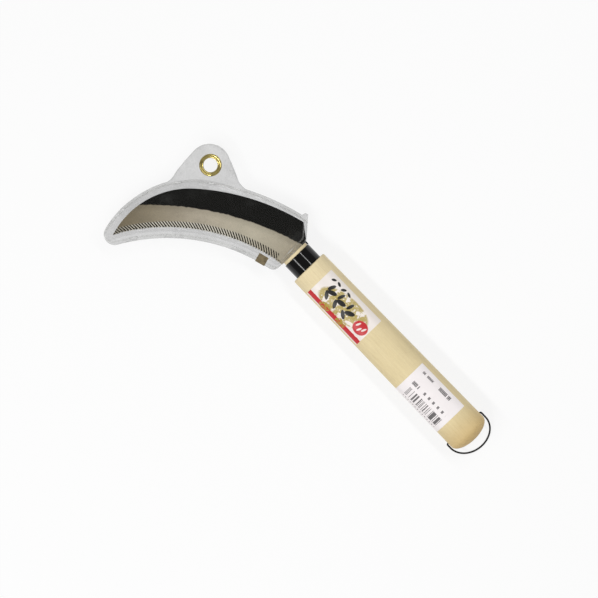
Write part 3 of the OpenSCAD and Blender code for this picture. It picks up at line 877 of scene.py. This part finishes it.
@dataclass(frozen=True)
class BarLabel(Finish):
    """White paper label with a plain row of bars, short rules and rows of marks.

    A rule is its span along the label, its level and half its height. A row of marks has its
    pitch before the height.
    """

    length: float = 42.0
    width: float = 34.0
    paper: tuple = srgb(244, 238, 238)
    ink: tuple = srgb(38, 34, 36)
    bars: tuple = ((6, 38), (18.2, 26.0))
    bars_a_mm: float = 2.4
    dashes_a_mm: float = 1.1
    rules: tuple = (((5, 15), 4.6, 0.9), ((20, 32), 4.6, 1.4), ((5, 11), 14.4, 1.3))
    rows: tuple = (((14, 38), 14.4, 4.4, 1.0), ((6, 38), 28.6, 2.4, 0.55))
    bar_strength: float = 0.85
    rule_strength: float = 0.92
    mark_strength: float = 0.8
    relief: float = 0.00002

    def paint(self, net: Net, effects: Effects, spot: Signal) -> None:
        """Paints the label on its own pattern in millimetres.

        Args:
            net: Net of the material.
            effects: The shared effects.
            spot: Coordinates.
        """
        pattern = net.scaled(spot, (self.length, self.width, 1.0))
        x, y, _ = net.split(pattern)
        tone = net.use(effects.speckle, pattern, 0.12, 3.0, 0.08)[0]
        colour = net.shade(self.paper, tone)
        cell = net.put("ShaderNodeTexWhiteNoise", {"noise_dimensions": "1D"},
                       W=net.math("FLOOR", x * self.bars_a_mm))[0]
        bars = net.math("GREATER_THAN", cell, 0.52) * self.window(net, x, y, *self.bars)
        colour = net.mix(bars * self.bar_strength, colour, self.ink)
        dashes = x * self.dashes_a_mm
        gap = net.math("GREATER_THAN", net.math("FRACT", dashes), 0.25)
        for span, level, tall in self.rules:
            dash = net.put("ShaderNodeTexWhiteNoise", {"noise_dimensions": "2D"},
                           Vector=net.flat(net.math("FLOOR", dashes), level))[0]
            window = self.window(net, x, y, span, (level - tall, level + tall))
            rule = net.math("GREATER_THAN", dash, 0.22) * window * gap
            colour = net.mix(rule * self.rule_strength, colour, self.ink)
        for span, level, pitch, tall in self.rows:
            window = self.window(net, x, y, span, (level - tall, level + tall))
            mark = net.math("GREATER_THAN", net.math("FRACT", x / pitch), 0.62) * window
            colour = net.mix(mark * self.mark_strength, colour, self.ink)
        net.shader("paper", tone, self.relief, Base_Color=colour, Roughness=0.55,
                   Specular_IOR_Level=0.3)

    @staticmethod
    def window(net: Net, x: Signal, y: Signal, wide: tuple[float, float],
               tall: tuple[float, float]) -> Signal:
        """Builds the mask of an upright rectangle.

        Args:
            net: Net of the material.
            x: Place along the label.
            y: Place across it.
            wide: Lowest and highest x.
            tall: Lowest and highest y.

        Returns:
            The mask.
        """
        across = net.math("GREATER_THAN", x, wide[0]) * net.math("LESS_THAN", x, wide[1])
        return across * (net.math("GREATER_THAN", y, tall[0]) * net.math("LESS_THAN", y, tall[1]))


@dataclass
class Handle:
    """Wooden handle with its tenon, ferrule, labels and hanging bail."""

    length: float = 167.1
    front: tuple[float, float] = (28.4, 23.6)
    butt: tuple[float, float] = (30.8, 25.0)
    dome: float = 7.4
    shoulder: float = 1.0
    face_share: float = 0.6
    point_share: float = 0.001
    tenon_r: float = 10.3
    tenon_bevel: float = 0.3
    tenon_overlap: float = 2.0
    tenon_core: float = 0.01
    ferrule_length: float = 12.1
    ferrule_r: float = 11.15
    ferrule_roll: float = 0.45
    ferrule_fit: float = 0.05
    facets: int = 48
    label_grid: tuple[int, int] = (40, 90)
    label_faces: tuple[float, float] = (0.03, 0.14)
    leaf_start: float = 12
    leaf_lines: tuple[int, int] = (6, 21)
    bar_start: float = 103
    bar_lines: tuple[int, int] = (6, 24)
    wire_r: float = 0.65
    pivot: float = 156.3
    bow_r: float = 16.33
    bend: float = 1.0
    reach: float = 21.6
    droop: float = 33.0
    pin_end: float = 9.88
    tip_length: float = 0.02
    skew: float = 0.9
    skew_length: float = 8.0

    def half(self, x: np.ndarray) -> tuple[np.ndarray, np.ndarray]:
        """Gives half the width and half the thickness, which grow evenly up to the dome."""
        share = np.clip(x / (self.length - self.dome), 0, 1)
        return tuple((a + (b - a) * share) / 2 for a, b in zip(self.front, self.butt))

    def body(self) -> bpy.types.Object:
        """Makes the oval body: half axes times the cosine and sine, with a quarter-round shoulder and butt.

        Returns:
            The piece.
        """
        turn = np.linspace(0, 2 * np.pi, 160, endpoint=False)
        a = np.linspace(0, np.pi / 2, 9)
        straight = np.linspace(self.shoulder, self.length - self.dome, 60)[1:-1]
        b = np.linspace(0, np.pi / 2, 25)
        x = np.concatenate([[0.0, 0.0], self.shoulder * (1 - np.cos(a)), straight,
                            self.length - self.dome + self.dome * np.sin(b)])
        step = np.concatenate([[0.0, 0.0], self.shoulder * (np.sin(a) - 1),
                               np.zeros(len(straight) + len(b))])
        shrink = np.concatenate([[self.point_share, self.face_share], np.ones(len(a) + len(straight)),
                                 np.cos(b)])
        shrink[-1] = self.point_share
        wide, thick = self.half(x)
        y = ((wide + step) * shrink)[:, None] * np.cos(turn)
        z = ((thick + step) * shrink)[:, None] * np.sin(turn)
        points = np.stack([np.repeat(x[:, None], len(turn), 1), y, z], -1).reshape(-1, 3)
        quads = grid_quads(len(x), len(turn), True)
        edge = np.array([[TENON_END, self.tenon_core], [TENON_END, self.tenon_r - self.tenon_bevel],
                         [TENON_END + self.tenon_bevel, self.tenon_r],
                         [self.tenon_overlap, self.tenon_r], [self.tenon_overlap, self.tenon_core]])
        tenon, more = revolve(edge)
        return make_mesh("handle_wood", np.vstack([points, tenon]),
                         np.vstack([quads, more + len(points)]), 35.0, merge=2e-5)

    def ferrule(self) -> bpy.types.Object:
        """Makes the ferrule: a thin pipe whose rims are rolled inwards in quarter rounds.

        Returns:
            The piece.
        """
        a = np.linspace(0, np.pi / 2, 7)
        roll, start = self.ferrule_roll, -self.ferrule_length
        outer = np.concatenate([
            np.stack([start + roll - roll * np.cos(a), self.ferrule_r - roll + roll * np.sin(a)], -1),
            np.stack([-roll + roll * np.sin(a), self.ferrule_r - roll + roll * np.cos(a)], -1)])
        bore = self.tenon_r + self.ferrule_fit
        return make_mesh("black_ferrule", *revolve(np.vstack([outer, [[0.0, bore], [start, bore]]])), 60.0)

    def label(self, name: str, start: float, reach: float, lines: tuple[int, int]) -> bpy.types.Object:
        """Makes a label on the oval, between two of its facet lines counted from the spine side.

        Each face is a grid of the half axes, let out by a step, times the cosine and sine.

        Args:
            name: Name of the piece.
            start: Start of the label along the handle.
            reach: Its length.
            lines: Its first and last facet line.

        Returns:
            The piece.
        """
        rows, cols = self.label_grid
        x = np.linspace(start, start + reach, rows)
        turn = np.radians(np.linspace(lines[0], lines[1], cols) * 360 / self.facets)
        wide, thick = self.half(x)
        sheets = [np.stack([np.repeat(x[:, None], cols, 1), (wide + step)[:, None] * np.cos(turn),
                            (thick + step)[:, None] * np.sin(turn)], -1) for step in self.label_faces]
        points, quads = slab(*sheets, np.ones((rows - 1, cols - 1), bool))
        v, u = np.meshgrid(np.linspace(0, 1, cols), np.linspace(0, 1, rows))
        uv = np.tile(np.stack([u, v], -1).reshape(-1, 2), (2, 1))
        return make_mesh(name, points, quads, uv=uv)

    def bail(self) -> bpy.types.Object:
        """Makes the bail: straight ends, tight bends, short legs and a half circle, bent a little askew.

        Returns:
            The piece.
        """
        leg = self.reach - self.bow_r - self.bend
        corner = self.bow_r - self.bend
        a = np.linspace(0, np.pi / 2, 9)
        pin = np.linspace(self.pin_end, corner, 8)[:-1]
        half = np.concatenate([
            np.stack([np.zeros(len(pin)), pin], -1),
            np.stack([self.bend - self.bend * np.cos(a), corner + self.bend * np.sin(a)], -1)])
        b = np.linspace(np.pi / 2, -np.pi / 2, 65)
        bow = np.stack([self.bend + leg + self.bow_r * np.cos(b), self.bow_r * np.sin(b)], -1)
        flat = np.concatenate([half[:1], half, bow, half[::-1] * [1, -1], half[:1] * [1, -1]])
        flat[0, 1] -= self.tip_length
        flat[-1, 1] += self.tip_length
        flat[:, 0] += self.skew * ease(flat[:, 0] / self.skew_length) * flat[:, 1] / self.bow_r
        tilt = math.radians(self.droop)
        path = np.stack([self.pivot + flat[:, 0] * math.cos(tilt), flat[:, 1],
                         -flat[:, 0] * math.sin(tilt)], -1)
        normal = np.array([math.sin(tilt), 0, math.cos(tilt)])
        return make_mesh("bail_wire", *tube(path, normal, self.wire_r), 60.0)

    def build(self, effects: Effects) -> None:
        """Builds and dresses every piece.

        Args:
            effects: The shared effects.
        """
        wood, black = PaleWood("pale_wood"), GlossBlack("ferrule_black")
        place(self.body(), Body.SICKLE, "handle", wood.build(effects), "handle")
        place(self.ferrule(), Body.SICKLE, "ferrule", black.build(effects), "ferrule")
        leaf, bar = LeafLabel("leaf_label"), BarLabel("bar_label")
        place(self.label("leaf_label", self.leaf_start, leaf.length, self.leaf_lines), Body.SICKLE,
              "long_label", leaf.build(effects, "UV"), "long_label")
        place(self.label("bar_label", self.bar_start, bar.length, self.bar_lines), Body.SICKLE,
              "price_label", bar.build(effects, "UV"), "price_label")
        wire = GlossBlack("wire_black", srgb(20, 19, 17), 0.3)
        place(self.bail(), Body.BAIL, "bail", wire.build(effects), "hanging_bail")
        dress("tang_pin", Metal("pin_steel", srgb(150, 150, 150), srgb(90, 88, 86)).build(effects))


def ray_hit(start: np.ndarray, turn: np.ndarray, centre: np.ndarray, radius: np.ndarray | float,
            side: int) -> np.ndarray:
    """Gives the distance along rays to the far or near wall of a circle.

    The wall is the centre's distance along the ray, plus or minus the half chord.

    Args:
        start: Start of the rays.
        turn: Bearings in degrees.
        centre: Centre of the circle.
        radius: Its radius.
        side: 1 for the far wall, -1 for the near one.

    Returns:
        The distances.
    """
    d = centre - start
    along = d[0] * np.cos(np.radians(turn)) + d[1] * np.sin(np.radians(turn))
    return along + side * np.sqrt(np.maximum(0, radius**2 - d @ d + along**2))


@dataclass
class Cover:
    """Clear cover of two films welded round the rim, with its eyelet and clip.

    Rows of a film run across the blade, from the mouth to the nose, on rays from the edge's centre.
    A turn is an angle from the heel in degrees, and a reach a distance outside the edge.
    """

    bevel_width: float = 15.2
    half_blade: float = 1.0
    half_edge: float = 0.15
    shoulder_turn: float = 1.8
    shoulder_reach: float = 33.0
    belly_turn: float = 28.9
    belly_reach: float = 28.4
    spine_radius: float = 168.0
    nose_radius: float = 61.0
    mouth_gap: float = 0.3
    mouth_bend: float = 11.8
    mouth_bearing: float = 132.0
    mouth_margin: float = 3.6
    margin_growth: float = 3.1
    nose_margin: float = 6.7
    corner_r: float = 4.5
    rim_r: float = 131.0
    end_r: float = 7.6
    last_row: float = 0.985
    eyelet_turn: float = 26.2
    eyelet_reach: float = 46.2
    hole_r: float = 5.6
    tab_r: float = 14.8
    tab_share: float = 0.8
    tab_flare: float = 4.3
    tab_fillet: float = 5.0
    ear_width: float = 3.5
    ear_height: float = 2.5
    full_width: float = 20.0
    edge_margin: float = 7.4
    pinch_back: float = 1.2
    edge_room: float = 0.15
    spine_room: float = 0.5
    least_strip: float = 3.0
    bevel_shares: tuple[float, float] = (0.3, 0.7)
    close_start: float = 0.15
    close_length: float = 0.7
    film: float = 0.5
    gap: float = 0.3
    weld: float = 1.7
    rows: int = 300
    steps: tuple[int, ...] = (6, 4, 4, 6, 6, 6, 6, 5, 14, 14)
    wave_depth: float = 0.12
    wave_start: float = 0.4
    seam_depth: float = 0.12
    seam_place: float = 2.2
    mouth_rows: float = 110.0

    def __post_init__(self) -> None:
        """Works out the main points of the outline as the part's source does."""
        shoulder = self.from_edge(self.shoulder_turn, self.shoulder_reach)
        belly = self.from_edge(self.belly_turn, self.belly_reach)
        self.belly_angle = HEEL_BEARING + self.belly_turn
        self.spine_centre = self.centre_through(shoulder, belly, self.spine_radius)
        self.nose_centre = belly + (self.spine_centre - belly) * self.nose_radius / self.spine_radius
        tip = self.circles_meet(EDGE_CENTRE, EDGE_RADIUS, self.nose_centre, self.nose_radius)
        self.tip_angle = self.bearing(EDGE_CENTRE, tip)
        self.mouth_x = TENON_END - self.mouth_gap
        corner_x = self.mouth_x - self.corner_r
        drop = math.sqrt((self.rim_r + self.corner_r) ** 2 - (EDGE_CENTRE[0] - corner_x) ** 2)
        self.corner = np.array([corner_x, EDGE_CENTRE[1] + drop])
        self.outer_nose_r = self.nose_radius + self.nose_margin
        self.end = self.circles_meet(EDGE_CENTRE, self.rim_r + self.end_r, self.nose_centre,
                                     self.outer_nose_r - self.end_r)
        away = math.radians(self.bearing(self.nose_centre, self.end))
        touch = self.nose_centre + self.outer_nose_r * np.array([math.cos(away), math.sin(away)])
        self.corner_angle = self.bearing(EDGE_CENTRE, self.corner)
        self.end_angle = self.bearing(EDGE_CENTRE, self.end)
        self.touch_angle = self.bearing(EDGE_CENTRE, touch)
        half_end = math.asin(self.last_row * self.end_r / (self.rim_r + self.end_r))
        self.last_angle = self.end_angle + math.degrees(half_end)
        self.eyelet_angle = HEEL_BEARING + self.eyelet_turn
        self.eyelet_r = EDGE_RADIUS + self.eyelet_reach
        self.eyelet = self.from_edge(self.eyelet_turn, self.eyelet_reach)
        self.mouth_top_r = EDGE_RADIUS + self.shoulder_reach + self.mouth_margin
        self.top_mouth = float(self.mouth_angle(np.array([self.mouth_top_r]))[0])
        start_r = np.linalg.norm(np.array([self.mouth_x, self.corner[1]]) - EDGE_CENTRE)
        self.low_mouth = float(self.mouth_angle(np.array([start_r]))[0])

    @staticmethod
    def from_edge(turn: float, reach: float) -> np.ndarray:
        """Gives the point at a turn from the heel and a distance outside the edge."""
        a = math.radians(HEEL_BEARING + turn)
        return EDGE_CENTRE + (EDGE_RADIUS + reach) * np.array([math.cos(a), math.sin(a)])

    @staticmethod
    def bearing(start: np.ndarray, end: np.ndarray) -> float:
        """Gives the bearing from one point to another in degrees."""
        return math.degrees(math.atan2(end[1] - start[1], end[0] - start[0]))

    @staticmethod
    def circles_meet(c1: np.ndarray, r1: float, c2: np.ndarray, r2: float) -> np.ndarray:
        """Gives the meeting point of two circles, left of the line between their centres.

        Args:
            c1: First centre.
            r1: First radius.
            c2: Second centre.
            r2: Second radius.

        Returns:
            The point.
        """
        d = c2 - c1
        gap = np.linalg.norm(d)
        u = d / gap
        along = (r1 * r1 - r2 * r2 + gap * gap) / (2 * gap)
        return c1 + u * along + math.sqrt(r1 * r1 - along * along) * np.array([-u[1], u[0]])

    @staticmethod
    def centre_through(p: np.ndarray, q: np.ndarray, radius: float) -> np.ndarray:
        """Gives the centre of a circle through two points, left of the line between them.

        Args:
            p: First point.
            q: Second point.
            radius: Radius of the circle.

        Returns:
            The centre.
        """
        half = (q - p) / 2
        u = half / np.linalg.norm(half)
        return p + half + math.sqrt(radius * radius - half @ half) * np.array([-u[1], u[0]])

    def mouth_angle(self, r: np.ndarray) -> np.ndarray:
        """Gives the bearing of the mouth at a radius: upright beside the tenon, then slanting.

        Args:
            r: Radii about the edge's centre.

        Returns:
            Bearings in degrees.
        """
        q = np.array([self.mouth_x, self.mouth_bend]) - EDGE_CENTRE
        slant = math.radians(self.mouth_bearing)
        u = np.array([math.cos(slant), math.sin(slant)])
        step = -(q @ u)
        near = np.minimum(r, self.mouth_top_r + self.ear_height)
        along = step + np.sqrt(np.maximum(0, step**2 - q @ q + near**2))
        slanting = np.degrees(np.arctan2(q[1] + u[1] * along, q[0] + u[0] * along))
        upright = 90 + np.degrees(np.arcsin((EDGE_CENTRE[0] - self.mouth_x) / r))
        return np.where(r < np.linalg.norm(q), upright, slanting)

    def rim_at(self, a: np.ndarray) -> np.ndarray:
        """Gives the outline below the edge: the mouth's corner, the rim and the rounded end.

        Args:
            a: Bearings in degrees.

        Returns:
            Radii about the edge's centre.
        """
        corner = ray_hit(EDGE_CENTRE, a, self.corner, self.corner_r, -1)
        end = ray_hit(EDGE_CENTRE, a, self.end, self.end_r, -1)
        return np.where(a < self.corner_angle, corner, np.where(a < self.end_angle, self.rim_r, end))

    def spine_at(self, a: np.ndarray) -> np.ndarray:
        """Gives the blade's spine: the arc of its back, then that of its nose.

        Args:
            a: Bearings in degrees.

        Returns:
            Radii about the edge's centre.
        """
        back = ray_hit(EDGE_CENTRE, a, self.spine_centre, self.spine_radius, 1)
        nose = ray_hit(EDGE_CENTRE, a, self.nose_centre, self.nose_radius, 1)
        return np.where(a < self.belly_angle, back, np.where(a < self.tip_angle, nose, EDGE_RADIUS))

    def top_at(self, a: np.ndarray) -> np.ndarray:
        """Gives the outline above the spine, without the tab and the ear.

        Args:
            a: Bearings in degrees.

        Returns:
            Radii about the edge's centre.
        """
        share = np.clip((a - self.top_mouth) / (self.belly_angle - self.top_mouth), 0, 1)
        back_r = self.spine_radius + self.mouth_margin + self.margin_growth * share
        back = ray_hit(EDGE_CENTRE, a, self.spine_centre, back_r, 1)
        nose = ray_hit(EDGE_CENTRE, a, self.nose_centre, self.outer_nose_r, 1)
        end = ray_hit(EDGE_CENTRE, a, self.end, self.end_r, 1)
        return np.where(a < self.belly_angle, back, np.where(a < self.touch_angle, nose, end))

    def outline_at(self, a: np.ndarray) -> np.ndarray:
        """Gives the outline with the hanging tab and the ear, its inner corners filled.

        It is the greater of outline and tab, plus a quarter of the fillet times the square of how
        near the two are.

        Args:
            a: Bearings in degrees.

        Returns:
            Radii about the edge's centre.
        """
        turn = np.abs(a - self.eyelet_angle)
        full = math.degrees(math.asin(self.tab_r / self.eyelet_r)) * self.tab_share
        middle = np.array([self.eyelet_r, 0.0])
        tab = ray_hit(np.zeros(2), np.minimum(turn, full), middle, self.tab_r, 1)
        tab = tab - self.tab_flare * np.maximum(0, turn - full)
        ear_turn = math.degrees(self.ear_width / (EDGE_RADIUS + self.shoulder_reach))
        ear = self.ear_height * (1 - ease((a - self.top_mouth) / ear_turn - 0.5))
        top = self.top_at(a) + ear
        h = np.maximum(0, 1 - np.abs(top - tab) / self.tab_fillet)
        return np.maximum(top, tab) + h * h * self.tab_fillet / 4

    def level(self, r: np.ndarray) -> np.ndarray:
        """Gives the inside of a film over the bevel and the flat: the blade's face plus the gap.

        Args:
            r: Radii about the edge's centre.

        Returns:
            Heights above the blade's middle plane.
        """
        slope = (self.half_blade - self.half_edge) / self.bevel_width
        bevel = self.half_edge + slope * np.maximum(0, r - EDGE_RADIUS)
        return np.minimum(self.half_blade, bevel) + self.gap

    def stations(self, s: np.ndarray) -> tuple[np.ndarray, np.ndarray]:
        """Gives the radius and level of each row's eleven stations, from the rim to the outline.

        Args:
            s: Shares of the way from the mouth to the nose.

        Returns:
            Radii and levels, rows by stations.
        """
        low = self.rim_at(self.low_mouth + (self.last_angle - self.low_mouth) * s)
        a = self.top_mouth + (self.last_angle - self.top_mouth) * s
        top, outer = self.top_at(a), self.outline_at(a)
        share = np.minimum(1, (top - low) / self.full_width)
        near = np.where(share < 1, low + (self.rim_r - low) * share / 2, self.rim_r)
        pinch = near + share * (self.edge_margin - self.pinch_back)
        edge = near + share * (self.edge_margin - self.edge_room)
        far = np.maximum(self.spine_at(a) + self.spine_room, edge + share * self.least_strip)
        first, last = self.bevel_shares
        bevel = np.clip(EDGE_RADIUS + self.bevel_width, edge + (far - edge) * first,
                        edge + (far - edge) * last)
        past = (a - self.tip_angle) / (self.last_angle - self.tip_angle)
        fade = 1 - ease((past - self.close_start) / self.close_length)
        weld = top - share * self.weld
        flat = np.zeros_like(s)
        radii = [low, (low + pinch) / 2, pinch, edge, (edge + bevel) / 2, bevel, (bevel + far) / 2, far,
                 weld, (weld + outer) / 2, outer]
        levels = [flat, flat, flat] + [self.level(r) * fade for r in radii[3:8]] + [flat, flat, flat]
        return np.stack(radii, 1), np.stack(levels, 1)

    def film_piece(self, name: str, side: int) -> bpy.types.Object:
        """Makes one film from its stations, with soft waves, a pressed weld and a hole for the eyelet.

        Levels between the stations are in proportion, and smoothed twice. The waves are products
        of sines. The weld is a row of low ridges along the rim and the spine, each a bell curve.

        Args:
            name: Name of the piece.
            side: 1 for the front film, -1 for the back one.

        Returns:
            The piece.
        """
        even = np.linspace(0, 1, self.rows)
        s = 0.5 * even + 0.5 * (1 - np.cos(even * np.pi)) / 2
        radii, levels = self.stations(s)
        spans = len(self.steps)
        spot = np.concatenate([i + np.arange(n) / n for i, n in enumerate(self.steps)] + [[float(spans)]])
        k = np.minimum(spot.astype(int), spans - 1)
        t = spot - k
        r = radii[:, k] * (1 - t) + radii[:, k + 1] * t
        z = levels[:, k] * (1 - t) + levels[:, k + 1] * t
        for _ in range(2):
            z[:, 1:-1] = (z[:, :-2] + 2 * z[:, 1:-1] + z[:, 2:]) / 4
        mouth = self.mouth_angle(r)
        a = np.radians(mouth + (self.last_angle - mouth) * s[:, None])
        x, y = EDGE_CENTRE[0] + r * np.cos(a), EDGE_CENTRE[1] + r * np.sin(a)
        wave = (np.sin(x * 0.31 + y * 0.17) * np.sin(y * 0.23 - x * 0.07)
                + 0.6 * np.sin(x * 0.11 + 2) * np.sin(y * 0.6))
        z = z + np.minimum(1, z / self.wave_start) * self.wave_depth * (wave + 1.0)
        to_rim, to_outline = r - radii[:, :1], radii[:, 10:] - r
        seam = ridge(to_rim - self.seam_place, 0.5) + ridge(radii[:, 8:9] - r, 0.6)
        from_mouth = s[:, None] * self.mouth_rows
        mouth_edge = ridge(from_mouth, 0.5) + ridge(from_mouth - 2, 0.4)
        weld = np.clip(0.8 * seam + 0.5 * mouth_edge * (z > 0.05) + 0.6 * np.exp(-to_rim / 0.6)
                       + 0.5 * np.exp(-to_outline / 0.7), 0, 1)
        thick = self.film + self.seam_depth * np.clip(seam, 0, 1)
        inner = np.stack([x, y, side * z], -1)
        outer = np.stack([x, y, side * (z + thick)], -1)
        away = np.hypot(x - self.eyelet[0], y - self.eyelet[1])
        corners = [away[:-1, :-1], away[1:, :-1], away[:-1, 1:], away[1:, 1:]]
        points, quads = slab(inner, outer, np.minimum.reduce(corners) > self.hole_r)
        return make_mesh(name, points, quads, 50.0, values={"weld": np.tile(weld.ravel(), 2)}, merge=1e-7)

    def build(self, effects: Effects) -> None:
        """Builds and dresses the films, the eyelet, its washer and the clip.

        Args:
            effects: The shared effects.
        """
        vinyl = ClearVinyl("clear_vinyl").build(effects)
        place(self.film_piece("front_film", 1), Body.COVER, "film", vinyl, "cover_front")
        place(self.film_piece("back_film", -1), Body.COVER, "film", vinyl, "cover_back")
        dress("eyelet", Brass("eyelet_brass").build(effects))
        dress("eyelet_washer", Brass("washer_brass", srgb(184, 166, 104)).build(effects))
        dress("cover_clip", Metal("clip_metal", srgb(132, 118, 88), srgb(92, 80, 58)).build(effects))


@dataclass
class Studio:
    """Pale floor, two long lamps, an even sky and the camera straight above."""

    world: float = 0.31
    floor_half: float = 3.0
    floor_grey: float = 0.85
    floor_glow: float = 0.82
    lamp_distance: float = 1.2
    lamp_axis: float = 0.03
    level: float = 0.0125
    target: tuple[float, float] = (-0.01594, 0.01159)
    view_width: float = 0.4186
    lens: float = 300.0
    turn: float = 46.0

    def floor(self) -> None:
        """Makes the floor: white to the camera, with a faint shadow of the object."""
        mesh = bpy.data.meshes.new("floor")
        h = self.floor_half
        mesh.from_pydata([(-h, -h, 0), (h, -h, 0), (h, h, 0), (-h, h, 0)], [], [(0, 1, 2, 3)])
        piece = link("floor", mesh)
        material = bpy.data.materials.new("floor_white")
        material.use_nodes = True
        net = Net(material.node_tree)
        light = net.node("ShaderNodeLightPath").outputs
        camera, glossy, clear = (Signal(net, light[f"Is {kind} Ray"])
                                 for kind in ("Camera", "Glossy", "Transmission"))
        seen = net.math("ADD", camera, glossy + clear, clamp=True)
        grey = self.floor_grey
        paper = net.put("ShaderNodeBsdfDiffuse", Color=(grey, grey, grey, 1))[0]
        glow = net.put("ShaderNodeEmission", Color=(1, 1, 1, 1), Strength=1.0)[0]
        both = net.put("ShaderNodeMixShader", None, seen * self.floor_glow, paper, glow)[0]
        net.node("ShaderNodeOutputMaterial", None, both)
        piece.data.materials.append(material)

    def sky(self) -> None:
        """Sets an even world that is white to the camera."""
        world = bpy.data.worlds.new("sky")
        bpy.context.scene.world = world
        world.use_nodes = True
        net = Net(world.node_tree)
        seen = Signal(net, net.node("ShaderNodeLightPath").outputs["Is Camera Ray"])
        strength = seen * (1.0 - self.world) + self.world
        back = net.put("ShaderNodeBackground", Color=(1, 1, 1, 1), Strength=strength)[0]
        net.node("ShaderNodeOutputWorld", None, back)

    def lamp(self, name: str, lean: float, size: tuple[float, float], power: float) -> None:
        """Hangs a long lamp over the handle, leaning from upright towards the spine side.

        Args:
            name: Name of the lamp.
            lean: Angle from upright in degrees.
            size: Its length and width in metres.
            power: Its power in watts.
        """
        light = bpy.data.lights.new(name, "AREA")
        light.shape = "RECTANGLE"
        light.size, light.size_y = size
        light.energy = power
        piece = link(name, light)
        a = math.radians(lean)
        far = self.lamp_distance
        piece.location = (0.0, self.lamp_axis + far * math.sin(a), far * math.cos(a))
        piece.rotation_euler = (-a, 0, 0)

    def camera(self) -> None:
        """Sets the camera straight above, turned as in the photograph."""
        data = bpy.data.cameras.new("camera")
        data.lens = self.lens
        piece = link("camera", data)
        height = self.level + self.view_width * self.lens / data.sensor_width
        piece.location = (*self.target, height)
        piece.rotation_euler = (0, 0, math.radians(self.turn))
        bpy.context.scene.camera = piece

    def build(self) -> None:
        """Builds the stage."""
        self.floor()
        self.sky()
        self.lamp("lamp_spine_side", 29, (1.3, 0.05), 6.0)
        self.lamp("lamp_cutting_side", -36, (1.3, 0.1), 8.2)
        self.camera()
        bpy.context.scene.view_settings.view_transform = "Standard"
        LOG.info("stage: floor, sky, two lamps and camera")


def main() -> None:
    """Builds the stage and every piece in order."""
    logging.basicConfig(level=logging.INFO, format="%(name)s %(message)s")
    Studio().build()
    effects = Effects()
    dress("blade", BladeSteel("blade_steel", model_point(*EDGE_CENTRE)).build(effects))
    Handle().build(effects)
    Cover().build(effects)


if __name__ == "__main__":
    main()
